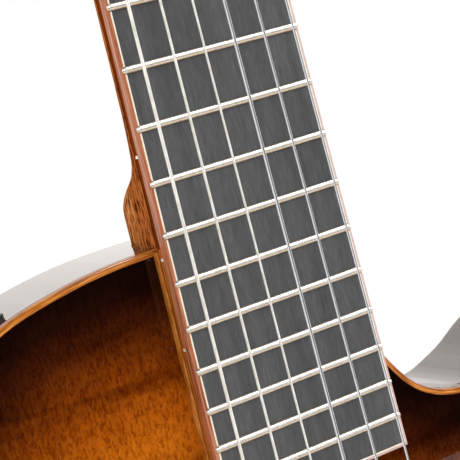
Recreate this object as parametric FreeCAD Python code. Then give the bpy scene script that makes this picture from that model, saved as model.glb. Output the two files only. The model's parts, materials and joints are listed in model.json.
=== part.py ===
# Slim, chambered nylon-string guitar with a single cutaway and a slotted headstock.
# Row frame: +Z runs up the neck, the strings face -Y, +X is the treble side. The origin is where the
# fingerboard meets the nut, on the centre line of the fingerboard's playing surface.
# "along" is the distance down from the nut towards the bridge, so Z = -along.
# "depth" is the distance behind the plane of the fingerboard's surface, so Y = depth.
import FreeCAD, Part
import math
import os

Vector = FreeCAD.Vector

# Scale and fingerboard
SCALE_LENGTH = 650.0
OCTAVE = 12
FRET_COUNT = 22
BOARD_HALF_NUT = 24.3
BOARD_HALF_OCTAVE = 29.95
BOARD_THICKNESS = 6.0
BOARD_END = 478.0
BOARD_BINDING = 1.0
BOARD_PURFLING = 0.5
BOARD_EDGE_ROUND = 0.8
BOARD_FOOT_ROUND = 0.6
FRET_CROWN_RADIUS = 1.1
FRET_CROWN_HEIGHT = 1.0
FRET_END_INSET = 0.2
FRET_TANG_WIDTH = 0.6
FRET_TANG_DEPTH = 1.9
FRET_SLOT_CLEARANCE = 0.05
DOT_RADIUS = 0.95
DOT_LENGTH = 0.95
DOT_DEPTH = 3.9
DOT_PAIR_SPACING = 6.0
DOT_FRETS = (3, 5, 7, 9, 12, 15, 17, 19)

# Neck and heel: along, half width less the board's, total depth, squareness of the section
NECK_INSET = 1.7
NECK_SECTIONS = (
    (-5.0, 23.4, 6.0),
    (10.0, 22.9, 4.2),
    (28.0, 21.6, 2.7),
    (110.0, 21.9, 2.5),
    (200.0, 22.6, 2.5),
    (290.0, 23.4, 2.5),
    (345.0, 23.6, 2.6),
    (366.0, 24.2, 2.8),
    (373.0, 27.0, 3.0),
    (377.0, 32.0, 3.6),
    (381.0, 36.6, 4.4),
    (385.0, 38.2, 5.0),
    (395.7, 38.6, 5.2),
)
SECTION_POINTS = 16
TONGUE_END = 477.0
TENON_HALF = 15.0
TENON_END = 448.0
TENON_DEPTH = 34.0
HEEL_CAP_THICKNESS = 1.5
HEEL_CAP_FROM = 384.0
HEEL_BUTTON_ALONG = 389.5

# Body
BODY_START = 395.7
BODY_TOP_DEPTH = 8.5
BODY_THICKNESS = 40.0
TOP_THICKNESS = 3.5
BACK_THICKNESS = 3.0
BINDING_WIDTH = 2.0
BINDING_HEIGHT = 5.5
BINDING_ROUND = 0.9
BACK_ROUND = 1.9
RIM_WIDTH = 9.0
CENTRE_BLOCK_HALF = 32.0
BRACE_PLACES = (505.0, 555.0, 620.0, 690.0, 760.0)
BRACE_WIDTH = 6.0
BRACE_HEIGHT = 6.0
BRACE_GAP = 0.3
# Cutting tools run this far, clear of the body on every side
TOOL_HALF = 200.0
TOOL_ALONG = (300.0, 900.0)
TOOL_DEPTH = 60.0
# Outline points as (x, along), from the neck down the bass side and back up to the cutaway
OUTLINE_START_TANGENT = (-1.0, 0.0)
OUTLINE_END_TANGENT = (-0.04, -1.0)
OUTLINE = (
    (-27.0, 395.7),
    (-59.0, 398.0),
    (-82.5, 403.7),
    (-110.0, 419.5),
    (-129.0, 445.0),
    (-136.0, 478.0),
    (-130.5, 513.0),
    (-121.0, 545.0),
    (-119.5, 575.0),
    (-131.0, 610.0),
    (-152.0, 650.0),
    (-171.0, 695.0),
    (-172.0, 738.0),
    (-150.0, 780.0),
    (-105.0, 806.0),
    (-50.0, 814.5),
    (0.0, 816.0),
    (50.0, 814.5),
    (105.0, 806.0),
    (150.0, 780.0),
    (172.0, 738.0),
    (171.0, 695.0),
    (152.0, 650.0),
    (131.0, 610.0),
    (119.5, 575.0),
    (121.0, 545.0),
    (131.5, 510.0),
    (134.5, 478.0),
    (128.0, 459.5),
    (113.0, 451.5),
    (96.2, 457.1),
    (79.0, 466.0),
    (65.0, 469.8),
    (50.5, 465.8),
    (37.0, 450.2),
    (30.2, 430.0),
    (28.6, 395.7),
)

# Strings, bass to treble
STRING_DIAMETERS = (1.12, 0.91, 0.76, 1.04, 0.82, 0.72)
NUT_SPREAD = 41.7
SADDLE_SPREAD = 60.0
STRING_OFFSET = 0.3
NUT_STRING_HEIGHT = 1.6
SADDLE_TOP_BASS = 7.45
SADDLE_TOP_TREBLE = 6.4
STRING_BEND = 2.5

# Nut and headstock
NUT_LENGTH = 5.0
NUT_HEIGHT = 2.5
HEAD_TILT = 14.0
HEAD_FACE_DEPTH = 4.5
HEAD_THICKNESS = 19.0
VENEER_THICKNESS = 1.5
HEAD_HALF = 36.0
HEAD_LENGTH = 190.0
SLOT_INNER = 7.5
SLOT_OUTER = 25.0
SLOT_BOTTOM = 32.0
SLOT_TOP = 164.0

# Tuning machines, in the headstock's own frame: x across, y into the thickness, z up the head
ROLLER_HEIGHTS = (70.0, 105.0, 140.0)
ROLLER_DEPTH = 9.5
ROLLER_RADIUS = 4.95
ROLLER_CLEARANCE = 0.08
ROLLER_END_GAP = 0.3
ROLLER_INNER = 4.0
ROLLER_TRACKS = (21.0, 17.0, 12.5)
STRING_TO_ROLLER = 0.35
PLATE_THICKNESS = 1.2
PLATE_BOTTOM = 56.0
PLATE_TOP = 166.0
PLATE_FRONT = 3.0
PLATE_BACK = 16.0
AXLE_RADIUS = 2.0
GEAR_GAP = 0.4
GEAR_THICKNESS = 4.0
GEAR_TEETH = 14
GEAR_TIP = 6.8
GEAR_ROOT = 5.6
WORM_RISE = 9.3
WORM_RADIUS = 2.1
WORM_FRONT = 4.6
WORM_BACK = 14.4
SHAFT_RADIUS = 1.5
SHAFT_END = 28.0
SHAFT_CLEARANCE = 0.06
EAR_THICKNESS = 2.0
EAR_HEIGHT = 5.6
BUTTON_FRONT = 24.0
BUTTON_LENGTH = 13.0
BUTTON_HALF_WIDTH = 8.0
BUTTON_HALF_THICKNESS = 4.4
SCREW_RADIUS = 1.3
SCREW_HEAD_RADIUS = 2.4
SCREW_HEAD_HEIGHT = 1.0
SCREW_LENGTH = 9.0

# Truss rod
ROD_HALF = 3.0
ROD_DEPTH = 13.6
ROD_START = 8.0
ROD_END = 440.0
ROD_NUT_RADIUS = 3.4
ROD_NUT_DEPTH = 10.2
ROD_NUT_END = -13.0
ROD_KEY_RADIUS = 2.0
ROD_POCKET_HALF = 5.5
ROD_POCKET_TOP = 26.0
ROD_COVER_HALF = 10.0
ROD_COVER_TOP = 29.0
ROD_COVER_THICKNESS = 1.6

# Bridge
SADDLE_ALONG = 651.5
SADDLE_WIDTH = 3.0
SADDLE_HALF = 39.8
SADDLE_SLOT_DEPTH = 2.6
PICKUP_THICKNESS = 1.0
BRIDGE_HALF = 92.0
BRIDGE_FROM = 645.0
BRIDGE_TO = 673.0
BRIDGE_TOP = -2.5
BRIDGE_BLOCK_HALF = 42.0
BRIDGE_WING_DEPTH = 4.5
TIE_FROM = 661.0
TIE_HOLE_DEPTH = 1.6
TIE_HOLE_CLEARANCE = 0.35
TIE_CORNER = 660.2
STRING_GAP = 0.03
TROUGH_FROM = 654.6
TROUGH_DEPTH = 3.6
INLAY_WIDTH = 2.0
INLAY_THICKNESS = 1.2

# Electrics and fittings
PANEL_PROUD = 1.2
PANEL_X = (-127.0, -78.0)
PANEL_DEPTH = (16.0, 41.0)
PREAMP_X = (-118.0, -72.0)
PREAMP_ALONG = (400.0, 452.0)
PREAMP_DEPTH = (18.0, 42.0)
PREAMP_GAP = 0.1
KNOB_X = (-86.0, -100.5, -114.5)
KNOB_DEPTH = 28.5
KNOB_RADIUS = 5.5
KNOB_HEIGHT = 8.0
KNOB_SHAFT_RADIUS = 3.0
BATTERY_X = -100.0
BATTERY_ALONG = 725.0
BATTERY_SIZE = (48.5, 17.5, 26.5)
BOX_OPENING = (54.0, 24.0, 31.0)
BOX_WALL = 2.0
DOOR_THICKNESS = 2.0
DOOR_GAP = 0.3
DOOR_PIN_RADIUS = 0.6
DOOR_PIN_LENGTH = 1.4
NOTCH_RADIUS = 5.0
JACK_X = 48.0
JACK_BORE = 3.2
JACK_RADIUS = 5.5
JACK_NUT_RADIUS = 8.0
JACK_LENGTH = 24.0
JACK_PLATE_RADIUS = 11.0
JACK_PLATE_THICKNESS = 2.0
JACK_SEAT = 812.0
BUTTON_DEPTH = 28.5
STRAP_BORE_RADIUS = 1.7
STRAP_BORE_DEPTH = 22.0
STRAP_SHANK_RADIUS = 1.65
STRAP_SHANK_LENGTH = 19.0
STRAP_FELT_RADIUS = 5.9
STRAP_SEAT_RADIUS = 6.2
STRAP_FELT_THICKNESS = 1.0
# The button's turned profile as (radius, height), and where its countersink starts
STRAP_PROFILE = (
    (0.0, 1.0),
    (5.2, 1.0),
    (5.2, 2.0),
    (3.6, 3.4),
    (3.6, 8.4),
    (6.6, 10.6),
    (6.6, 12.0),
    (0.0, 13.0),
)
STRAP_SINK_FROM = 10.9


def at(x, along, depth):
    """A point from its place across, down and behind the fingerboard."""
    return Vector(x, depth, -along)


def fret_along(number):
    return SCALE_LENGTH * (1.0 - 2.0 ** (-number / OCTAVE))


def board_half(along):
    rate = (BOARD_HALF_OCTAVE - BOARD_HALF_NUT) / (SCALE_LENGTH / 2.0)
    return BOARD_HALF_NUT + rate * along


def slab(x0, x1, along0, along1, depth0, depth1):
    """A box between two places across, two along and two depths."""
    return Part.makeBox(x1 - x0, depth1 - depth0, along1 - along0, at(x0, along1, depth0))


def cylinder(radius, start, end):
    return Part.makeCylinder(radius, (end - start).Length, start, end - start)


def tapered(inset, along0, along1, depth0, depth1):
    """A slab whose sides follow the fingerboard's taper, inset from its edge."""
    half0 = board_half(along0) - inset
    half1 = board_half(along1) - inset
    corners = [
        at(-half0, along0, depth0),
        at(half0, along0, depth0),
        at(half1, along1, depth0),
        at(-half1, along1, depth0),
    ]
    face = Part.Face(Part.makePolygon(corners + corners[:1]))
    return face.extrude(Vector(0, depth1 - depth0, 0))


def bend(start, tangent, end):
    """An arc from start, leaving along tangent, to end."""
    chord = end - start
    side = tangent - chord * (tangent.dot(chord) / chord.dot(chord))
    if side.Length < 1e-6:
        return Part.LineSegment(start, end).toShape()
    angle = tangent.getAngle(chord)
    middle = start + chord * 0.5 + side.normalize() * (chord.Length / 2.0 * math.tan(angle / 2.0))
    return Part.Arc(start, middle, end).toShape()


def two_arcs(start, tangent0, end, tangent1):
    """Two arcs that leave start along tangent0 and reach end along tangent1."""
    chord = end - start
    both = tangent0 + tangent1
    turn = 2.0 * (1.0 - tangent0.dot(tangent1))
    across = chord.dot(both)
    if turn < 1e-9:
        reach = chord.dot(chord) / (4.0 * chord.dot(tangent1))
    else:
        reach = (math.sqrt(across * across + turn * chord.dot(chord)) - across) / turn
    joint = (start + end + (tangent0 - tangent1) * reach) * 0.5
    first = bend(start, tangent0, joint)
    second = bend(end, tangent1 * -1.0, joint)
    return [first, second]


def circle_tangent(before, here, after):
    """The direction at here of the circle through three points."""
    into = here - before
    out = after - here
    mixed = into * (out.Length / into.Length) + out * (into.Length / out.Length)
    return mixed.normalize()


def smooth_edges(points, tangent0, tangent1):
    """A chain of tangent arcs through the points."""
    tangents = [tangent0.normalize()]
    for before, here, after in zip(points, points[1:], points[2:]):
        tangents.append(circle_tangent(before, here, after))
    tangents.append(tangent1.normalize())
    edges = []
    for index in range(len(points) - 1):
        edges += two_arcs(points[index], tangents[index], points[index + 1], tangents[index + 1])
    return edges


def body_outline():
    points = [at(x, along, 0) for x, along in OUTLINE]
    tangent0 = at(OUTLINE_START_TANGENT[0], OUTLINE_START_TANGENT[1], 0)
    tangent1 = at(OUTLINE_END_TANGENT[0], OUTLINE_END_TANGENT[1], 0)
    edges = smooth_edges(points, tangent0, tangent1)
    edges.append(Part.LineSegment(points[-1], points[0]).toShape())
    return Part.Wire(Part.__sortEdges__(edges))


def prism(wire, depth0, depth1):
    """The wire, which lies at depth 0, filled and run from depth0 to depth1."""
    face = Part.Face(wire)
    face.translate(Vector(0, depth0, 0))
    return face.extrude(Vector(0, depth1 - depth0, 0))


def inner_wire(wire, inset):
    return Part.Wire(Part.__sortEdges__(Part.Face(wire).makeOffset2D(-inset).Edges))


def edges_at(shape, depth):
    """The edges that lie wholly at one depth."""
    found = []
    for edge in shape.Edges:
        if all(abs(vertex.Point.y - depth) < 1e-4 for vertex in edge.Vertexes):
            if edge.BoundBox.YLength < 1e-4:
                found.append(edge)
    return found


def string_x(index, along):
    nut = -NUT_SPREAD / 2.0 + NUT_SPREAD * index / 5.0 + STRING_OFFSET
    saddle = -SADDLE_SPREAD / 2.0 + SADDLE_SPREAD * index / 5.0 + STRING_OFFSET
    return nut + (saddle - nut) * along / SADDLE_ALONG


def saddle_top(x):
    share = (x + SADDLE_SPREAD / 2.0) / SADDLE_SPREAD
    return -(SADDLE_TOP_BASS + (SADDLE_TOP_TREBLE - SADDLE_TOP_BASS) * share)


def body_normal(wire, x):
    """The outline's point at x on the bass shoulder, and its outward direction."""
    shoulder = [p for p in wire.discretize(Number=3000) if p.x < 0 and -p.z < OUTLINE[5][1]]
    shoulder.sort(key=lambda p: abs(p.x - x))
    near = shoulder[0]
    other = shoulder[1]
    run = other - near
    normal = Vector(-run.z, 0, run.x)
    if normal.z < 0:
        normal = normal * -1.0
    return near, normal.normalize()


def head_place(shape):
    """Moves a shape from the headstock's own frame to its place."""
    shape.rotate(Vector(0, 0, 0), Vector(1, 0, 0), -HEAD_TILT)
    shape.translate(Vector(0, HEAD_FACE_DEPTH, NUT_LENGTH))
    return shape


def head_point(x, depth, height):
    tilt = math.radians(HEAD_TILT)
    y = depth * math.cos(tilt) + height * math.sin(tilt) + HEAD_FACE_DEPTH
    z = height * math.cos(tilt) - depth * math.sin(tilt) + NUT_LENGTH
    return Vector(x, y, z)


def bead_path(points, radius):
    """Straight runs through the points, with the corners rounded by tangent arcs."""
    edges = []
    start = points[0]
    for before, corner, after in zip(points, points[1:], points[2:]):
        back = (before - corner).normalize()
        ahead = (after - corner).normalize()
        turn = math.pi - back.getAngle(ahead)
        cut = radius * math.tan(turn / 2.0)
        entry = corner + back * cut
        leave = corner + ahead * cut
        middle = (back + ahead).normalize()
        centre = corner + middle * (radius / math.cos(turn / 2.0))
        edges.append(Part.LineSegment(start, entry).toShape())
        edges.append(Part.Arc(entry, centre - middle * radius, leave).toShape())
        start = leave
    edges.append(Part.LineSegment(start, points[-1]).toShape())
    return Part.Wire(edges)


# ---------------------------------------------------------------- body


def make_body(wire):
    """Core, plates and bindings, all from the one outline."""
    top = BODY_TOP_DEPTH
    bottom = BODY_TOP_DEPTH + BODY_THICKNESS
    bound = inner_wire(wire, BINDING_WIDTH)
    chamber_wire = inner_wire(wire, RIM_WIDTH)
    tenon = slab(-TENON_HALF, TENON_HALF, BODY_START - 5, TENON_END, 0, TENON_DEPTH)

    plate_top = prism(bound, top, top + TOP_THICKNESS).cut(tenon)
    plate_back = prism(bound, bottom - BACK_THICKNESS, bottom)

    ring_top = prism(wire, top, top + BINDING_HEIGHT)
    ring_top = ring_top.makeFillet(BINDING_ROUND, edges_at(ring_top, top))
    ring_top = ring_top.cut(prism(bound, top - 1, top + BINDING_HEIGHT + 1)).cut(tenon)
    ring_back = prism(wire, bottom - BINDING_HEIGHT, bottom)
    ring_back = ring_back.makeFillet(BACK_ROUND, edges_at(ring_back, bottom))
    ring_back = ring_back.cut(prism(bound, bottom - BINDING_HEIGHT - 1, bottom + 1))

    core = prism(bound, top + TOP_THICKNESS, bottom - BACK_THICKNESS)
    waist = prism(wire, top + BINDING_HEIGHT, bottom - BINDING_HEIGHT)
    core = core.fuse(waist).removeSplitter()
    chambers = prism(chamber_wire, top, bottom)
    block = slab(-CENTRE_BLOCK_HALF, CENTRE_BLOCK_HALF, *TOOL_ALONG, top - 1, bottom + 1)
    core = core.cut(chambers.cut(block)).cut(tenon)
    return core, plate_top, plate_back, ring_top, ring_back


def make_braces(wire):
    """Light bars glued under the top, spanning each chamber."""
    inside = inner_wire(wire, RIM_WIDTH + BRACE_GAP)
    depth0 = BODY_TOP_DEPTH + TOP_THICKNESS
    region = prism(inside, depth0, depth0 + 2.0 * BRACE_HEIGHT)
    block_half = CENTRE_BLOCK_HALF + BRACE_GAP
    region = region.cut(slab(-block_half, block_half, *TOOL_ALONG, 0, TOOL_DEPTH))
    bars = []
    for along in BRACE_PLACES:
        end = along + BRACE_WIDTH
        bars.append(slab(-TOOL_HALF, TOOL_HALF, along, end, depth0, depth0 + BRACE_HEIGHT))
    return region.common(Part.makeCompound(bars))


# ---------------------------------------------------------------- neck


def neck_section(along, bottom, squareness):
    """A closed section of the neck: flat under the board and rounded behind."""
    half = board_half(along) - NECK_INSET
    height = bottom - BOARD_THICKNESS
    power = 2.0 / squareness
    points = []
    for step in range(SECTION_POINTS + 1):
        angle = math.pi * step / SECTION_POINTS
        across = math.copysign(abs(math.cos(angle)) ** power, math.cos(angle))
        down = abs(math.sin(angle)) ** power
        if step in (0, SECTION_POINTS):
            down = 0.0
        points.append(at(half * across, along, BOARD_THICKNESS + height * down))
    curve = Part.BSplineCurve()
    curve.interpolate(points)
    flat = Part.LineSegment(points[-1], points[0]).toShape()
    return Part.Wire([curve.toShape(), flat])


def head_wire():
    """The headstock's outline in its own frame."""
    half = HEAD_HALF
    right = [
        Vector(BOARD_HALF_NUT, 0, 0),
        Vector(BOARD_HALF_NUT + 1.5, 0, 10),
        Vector(half - 4.0, 0, 29),
        Vector(half, 0, 46),
    ]
    crown = [
        Vector(half, 0, HEAD_LENGTH - 18),
        Vector(half - 9.0, 0, HEAD_LENGTH - 6.5),
        Vector(15.0, 0, HEAD_LENGTH - 3.5),
        Vector(0, 0, HEAD_LENGTH),
    ]
    up = Vector(0, 0, 1)
    edges = smooth_edges(right, up, up)
    edges.append(Part.LineSegment(right[-1], crown[0]).toShape())
    edges += smooth_edges(crown, up, Vector(-1, 0, 0))
    mirrored = []
    for edge in edges:
        mirrored.append(edge.mirror(Vector(0, 0, 0), Vector(1, 0, 0)))
    base = Part.LineSegment(Vector(-BOARD_HALF_NUT, 0, 0), Vector(BOARD_HALF_NUT, 0, 0)).toShape()
    return Part.Wire(Part.__sortEdges__(edges + mirrored + [base]))


def head_slots():
    """The two long openings through the head."""
    radius = (SLOT_OUTER - SLOT_INNER) / 2.0
    centre = (SLOT_OUTER + SLOT_INNER) / 2.0
    cuts = []
    for side in (-1, 1):
        low = SLOT_BOTTOM + radius
        high = SLOT_TOP - radius
        body = Part.makeBox(2 * radius, 40, high - low, Vector(side * centre - radius, -10, low))
        ends = []
        for height in (low, high):
            front = Vector(side * centre, -10, height)
            ends.append(cylinder(radius, front, front + Vector(0, 40, 0)))
        cuts.append(body.fuse(ends))
    return Part.makeCompound(cuts)


def roller_bores():
    bores = []
    radius = ROLLER_RADIUS + ROLLER_CLEARANCE
    for side in (-1, 1):
        for height in ROLLER_HEIGHTS:
            start = Vector(side * (ROLLER_INNER - ROLLER_END_GAP), ROLLER_DEPTH, height)
            bores.append(cylinder(radius, start, Vector(side * (HEAD_HALF + 5), ROLLER_DEPTH, height)))
    return Part.makeCompound(bores)


def plate_screw_places():
    """Where the tuner plates' screws go, in the headstock's own frame."""
    heights = (PLATE_BOTTOM + 4, 92.0, 127.0, PLATE_TOP - 4)
    middle = (PLATE_FRONT + PLATE_BACK) / 2.0
    return [(side, middle, height) for side in (-1, 1) for height in heights]


def cover_screw_places():
    return [(0.0, ROD_COVER_TOP - 3.5)]


def rod_pocket_tool():
    """The opening in the head's face above the truss rod's nut, in the headstock's own frame."""
    corner = Vector(-ROD_POCKET_HALF, -15, -5)
    return Part.makeBox(2 * ROD_POCKET_HALF, 30, ROD_POCKET_TOP + 5, corner)


def make_neck():
    """Shaft, heel, tenon and tongue, with the slotted head."""
    sections = [neck_section(*row) for row in NECK_SECTIONS]
    shaft = Part.makeLoft(sections, True, False)
    tongue = tapered(NECK_INSET, BODY_START - 1, TONGUE_END, BOARD_THICKNESS, BODY_TOP_DEPTH)
    tenon = slab(-TENON_HALF, TENON_HALF, BODY_START - 5, TENON_END, BOARD_THICKNESS, TENON_DEPTH)
    cap = heel_cap_tool()
    head = Part.Face(head_wire()).extrude(Vector(0, HEAD_THICKNESS - VENEER_THICKNESS, 0))
    head.translate(Vector(0, VENEER_THICKNESS, 0))
    head = head.cut(head_slots()).cut(roller_bores())
    pilot = []
    for side, depth, height in plate_screw_places():
        mouth = Vector(side * (HEAD_HALF + 1), depth, height)
        end = Vector(side * (HEAD_HALF - SCREW_LENGTH), depth, height)
        pilot.append(cylinder(SCREW_RADIUS, mouth, end))
    for x, height in cover_screw_places():
        pilot.append(cylinder(SCREW_RADIUS, Vector(x, -5, height), Vector(x, SCREW_LENGTH, height)))
    head = head.cut(Part.makeCompound(pilot))
    neck = shaft.fuse([tongue, tenon]).fuse(head_place(head))
    pocket = head_place(rod_pocket_tool())
    keep = slab(-ROD_COVER_HALF, ROD_COVER_HALF, -2 * ROD_COVER_TOP, -NUT_LENGTH, 0, ROD_DEPTH + 1)
    channel = slab(-ROD_HALF, ROD_HALF, ROD_START, ROD_END, BOARD_THICKNESS, ROD_DEPTH)
    start = at(0, ROD_START + 1, ROD_NUT_DEPTH)
    nut_bore = cylinder(ROD_NUT_RADIUS + 0.1, start, at(0, ROD_NUT_END - 12, ROD_NUT_DEPTH))
    neck = neck.cut(channel).cut(pocket.common(keep)).cut(nut_bore).cut(cap)
    return neck.cut(heel_screw_bore())


def heel_cap_tool():
    depth = NECK_SECTIONS[-1][1]
    inner = depth - HEEL_CAP_THICKNESS - 0.4
    return slab(-TOOL_HALF, TOOL_HALF, HEEL_CAP_FROM - 2, BODY_START + 1, inner, depth + 5)


def make_heel_cap():
    """The thin plate over the heel's back, cut from the heel's own shape, with a flat seat."""
    sections = [neck_section(*row) for row in NECK_SECTIONS[-4:]]
    block = Part.makeLoft(sections, True, False)
    seat_at = at(0, HEEL_BUTTON_ALONG, NECK_SECTIONS[-1][1])
    seat = cylinder(STRAP_SEAT_RADIUS, seat_at, seat_at + Vector(0, 5, 0))
    return block.common(heel_cap_tool()).cut(heel_screw_bore()).cut(seat)


def heel_screw_bore():
    depth = NECK_SECTIONS[-1][1]
    end = at(0, HEEL_BUTTON_ALONG, depth - STRAP_BORE_DEPTH)
    return cylinder(STRAP_BORE_RADIUS, end, at(0, HEEL_BUTTON_ALONG, depth + 2))


def make_veneer():
    face = Part.Face(head_wire()).extrude(Vector(0, VENEER_THICKNESS, 0))
    face = face.cut(head_slots()).cut(rod_pocket_tool())
    for x, height in cover_screw_places():
        face = face.cut(cylinder(SCREW_RADIUS, Vector(x, -5, height), Vector(x, 5, height)))
    return head_place(face).cut(slab(-HEAD_HALF, HEAD_HALF, -NUT_LENGTH, 0, 0, HEAD_THICKNESS))


def make_rod_cover():
    half = ROD_COVER_HALF
    points = [
        Vector(-half, 0, 1),
        Vector(half, 0, 1),
        Vector(half, 0, 12),
        Vector(half * 0.55, 0, ROD_COVER_TOP),
        Vector(-half * 0.55, 0, ROD_COVER_TOP),
        Vector(-half, 0, 12),
    ]
    face = Part.Face(Part.makePolygon(points + points[:1]))
    plate = face.extrude(Vector(0, -ROD_COVER_THICKNESS, 0))
    plate = plate.makeFillet(0.5, edges_at(plate, -ROD_COVER_THICKNESS))
    for x, height in cover_screw_places():
        plate = plate.cut(cylinder(SCREW_RADIUS, Vector(x, -5, height), Vector(x, 5, height)))
    return head_place(plate)


def screw(head_at, direction, length):
    """A round-headed screw whose head sits on the surface at head_at."""
    drive = direction.normalize()
    shank = cylinder(SCREW_RADIUS - 0.02, head_at, head_at + drive * length)
    ball_radius = (SCREW_HEAD_RADIUS ** 2 + SCREW_HEAD_HEIGHT ** 2) / (2 * SCREW_HEAD_HEIGHT)
    ball = Part.makeSphere(ball_radius, head_at + drive * (ball_radius - SCREW_HEAD_HEIGHT))
    limit = cylinder(SCREW_HEAD_RADIUS, head_at - drive * SCREW_HEAD_HEIGHT * 2, head_at)
    dome = ball.common(limit)
    return dome.fuse(shank)


def make_rod():
    bar = slab(-ROD_HALF, ROD_HALF, ROD_START + 1.2, ROD_END, BOARD_THICKNESS, ROD_DEPTH)
    stub = cylinder(1.6, at(0, ROD_START + 1.4, ROD_NUT_DEPTH), at(0, -2.0, ROD_NUT_DEPTH))
    return bar.fuse(stub)


def make_rod_nut():
    """The rod's adjusting nut, with a hexagonal key socket in its open end."""
    body = cylinder(ROD_NUT_RADIUS, at(0, 6.0, ROD_NUT_DEPTH), at(0, ROD_NUT_END, ROD_NUT_DEPTH))
    stub_bore = cylinder(1.65, at(0, 7.0, ROD_NUT_DEPTH), at(0, -3.0, ROD_NUT_DEPTH))
    corners = []
    for step in range(7):
        angle = math.radians(60 * step)
        x = ROD_KEY_RADIUS * math.cos(angle)
        depth = ROD_NUT_DEPTH + ROD_KEY_RADIUS * math.sin(angle)
        corners.append(at(x, ROD_NUT_END, depth))
    socket = Part.Face(Part.makePolygon(corners)).extrude(Vector(0, 0, -8))
    return body.cut(stub_bore).cut(socket)


# ---------------------------------------------------------------- fingerboard


def fret_slots():
    cuts = []
    half = FRET_TANG_WIDTH / 2.0 + FRET_SLOT_CLEARANCE
    for number in range(1, FRET_COUNT + 1):
        along = fret_along(number)
        cuts.append(slab(-40, 40, along - half, along + half, -1, FRET_TANG_DEPTH + 0.2))
    return Part.makeCompound(cuts)


def make_board():
    edge = BOARD_BINDING + BOARD_PURFLING
    core = tapered(edge, 0, BOARD_END - edge, 0, BOARD_THICKNESS)
    return core.cut(fret_slots())


def make_board_purfling():
    edge = BOARD_BINDING + BOARD_PURFLING
    outer = tapered(BOARD_BINDING, 0, BOARD_END - BOARD_BINDING, 0, BOARD_THICKNESS)
    return outer.cut(tapered(edge, -5, BOARD_END - edge, -1, BOARD_THICKNESS + 1))


def make_board_binding():
    outer = tapered(0, 0, BOARD_END, 0, BOARD_THICKNESS)
    long_edges = [e for e in edges_at(outer, 0) if e.BoundBox.ZMin < -1.0]
    outer = outer.makeFillet(BOARD_EDGE_ROUND, long_edges)
    foot = [e for e in edges_at(outer, BOARD_THICKNESS) if e.BoundBox.ZMin < -1.0]
    outer = outer.makeFillet(BOARD_FOOT_ROUND, foot)
    inner = tapered(BOARD_BINDING, -5, BOARD_END - BOARD_BINDING, -1, BOARD_THICKNESS + 1)
    return outer.cut(inner).cut(dots())


def dots():
    """Position dots in the bass edge, centred between frets."""
    found = []
    for number in DOT_FRETS:
        along = (fret_along(number - 1) + fret_along(number)) / 2.0
        spread = DOT_PAIR_SPACING / 2.0
        offsets = (-spread, spread) if number == OCTAVE else (0.0,)
        for offset in offsets:
            edge = -board_half(along + offset)
            start = at(edge + DOT_LENGTH, along + offset, DOT_DEPTH)
            found.append(cylinder(DOT_RADIUS, start, at(edge, along + offset, DOT_DEPTH)))
    return Part.makeCompound(found)


def make_fret(number):
    """One fret: a rounded crown with ball ends, and the tang in its slot."""
    along = fret_along(number)
    half = board_half(along) - FRET_END_INSET
    centre = FRET_CROWN_RADIUS - FRET_CROWN_HEIGHT
    reach = half - FRET_CROWN_RADIUS
    bar = cylinder(FRET_CROWN_RADIUS, at(-reach, along, centre), at(reach, along, centre))
    balls = [Part.makeSphere(FRET_CROWN_RADIUS, at(x, along, centre)) for x in (-reach, reach)]
    crown = bar.fuse(balls)
    crown = crown.cut(slab(-50, 50, along - 5, along + 5, 0, 5))
    tang_half = half - BOARD_BINDING - BOARD_PURFLING - 0.3
    side = FRET_TANG_WIDTH / 2.0
    tang = slab(-tang_half, tang_half, along - side, along + side, -0.2, FRET_TANG_DEPTH)
    return crown.fuse(tang)


def make_frets():
    return Part.makeCompound([make_fret(number) for number in range(1, FRET_COUNT + 1)])


# ---------------------------------------------------------------- strings, nut and bridge


def nut_point(index, along):
    drop = 0.25 if along < -1 else 0.0
    return at(string_x(index, 0), along, -NUT_STRING_HEIGHT + drop)


def saddle_point(index):
    """Where the string's straight runs before and behind the saddle's round crest would meet."""
    x = string_x(index, SADDLE_ALONG)
    depth = saddle_top(x) - STRING_DIAMETERS[index] / 2.0 - STRING_GAP
    along = SADDLE_ALONG
    for _ in range(8):
        descent = math.atan2(TIE_HOLE_DEPTH - depth, TIE_CORNER - along)
        along = SADDLE_ALONG + STRING_BEND * math.tan(descent / 2.0)
    return at(x, along, depth)


def roller_of(index):
    """The string's side, and its machine's place counted up the head."""
    if index < 3:
        return -1, index
    return 1, 5 - index


def string_path(index):
    side, place = roller_of(index)
    radius = STRING_DIAMETERS[index] / 2.0
    saddle = saddle_point(index)
    depth = ROLLER_DEPTH - ROLLER_RADIUS - radius - STRING_TO_ROLLER
    points = [
        at(saddle.x, BRIDGE_TO + 3.0, TIE_HOLE_DEPTH),
        at(saddle.x, TIE_CORNER, TIE_HOLE_DEPTH),
        saddle,
        nut_point(index, 0),
        nut_point(index, -NUT_LENGTH),
        head_point(side * ROLLER_TRACKS[place], depth, ROLLER_HEIGHTS[place]),
    ]
    return bead_path(points, STRING_BEND)


def make_string(index):
    path = string_path(index)
    first = path.Edges[0]
    start = first.valueAt(first.FirstParameter)
    run = first.tangentAt(first.FirstParameter)
    ring = Part.Wire(Part.makeCircle(STRING_DIAMETERS[index] / 2.0, start, run))
    return path.makePipeShell([ring], True, False)


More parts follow.
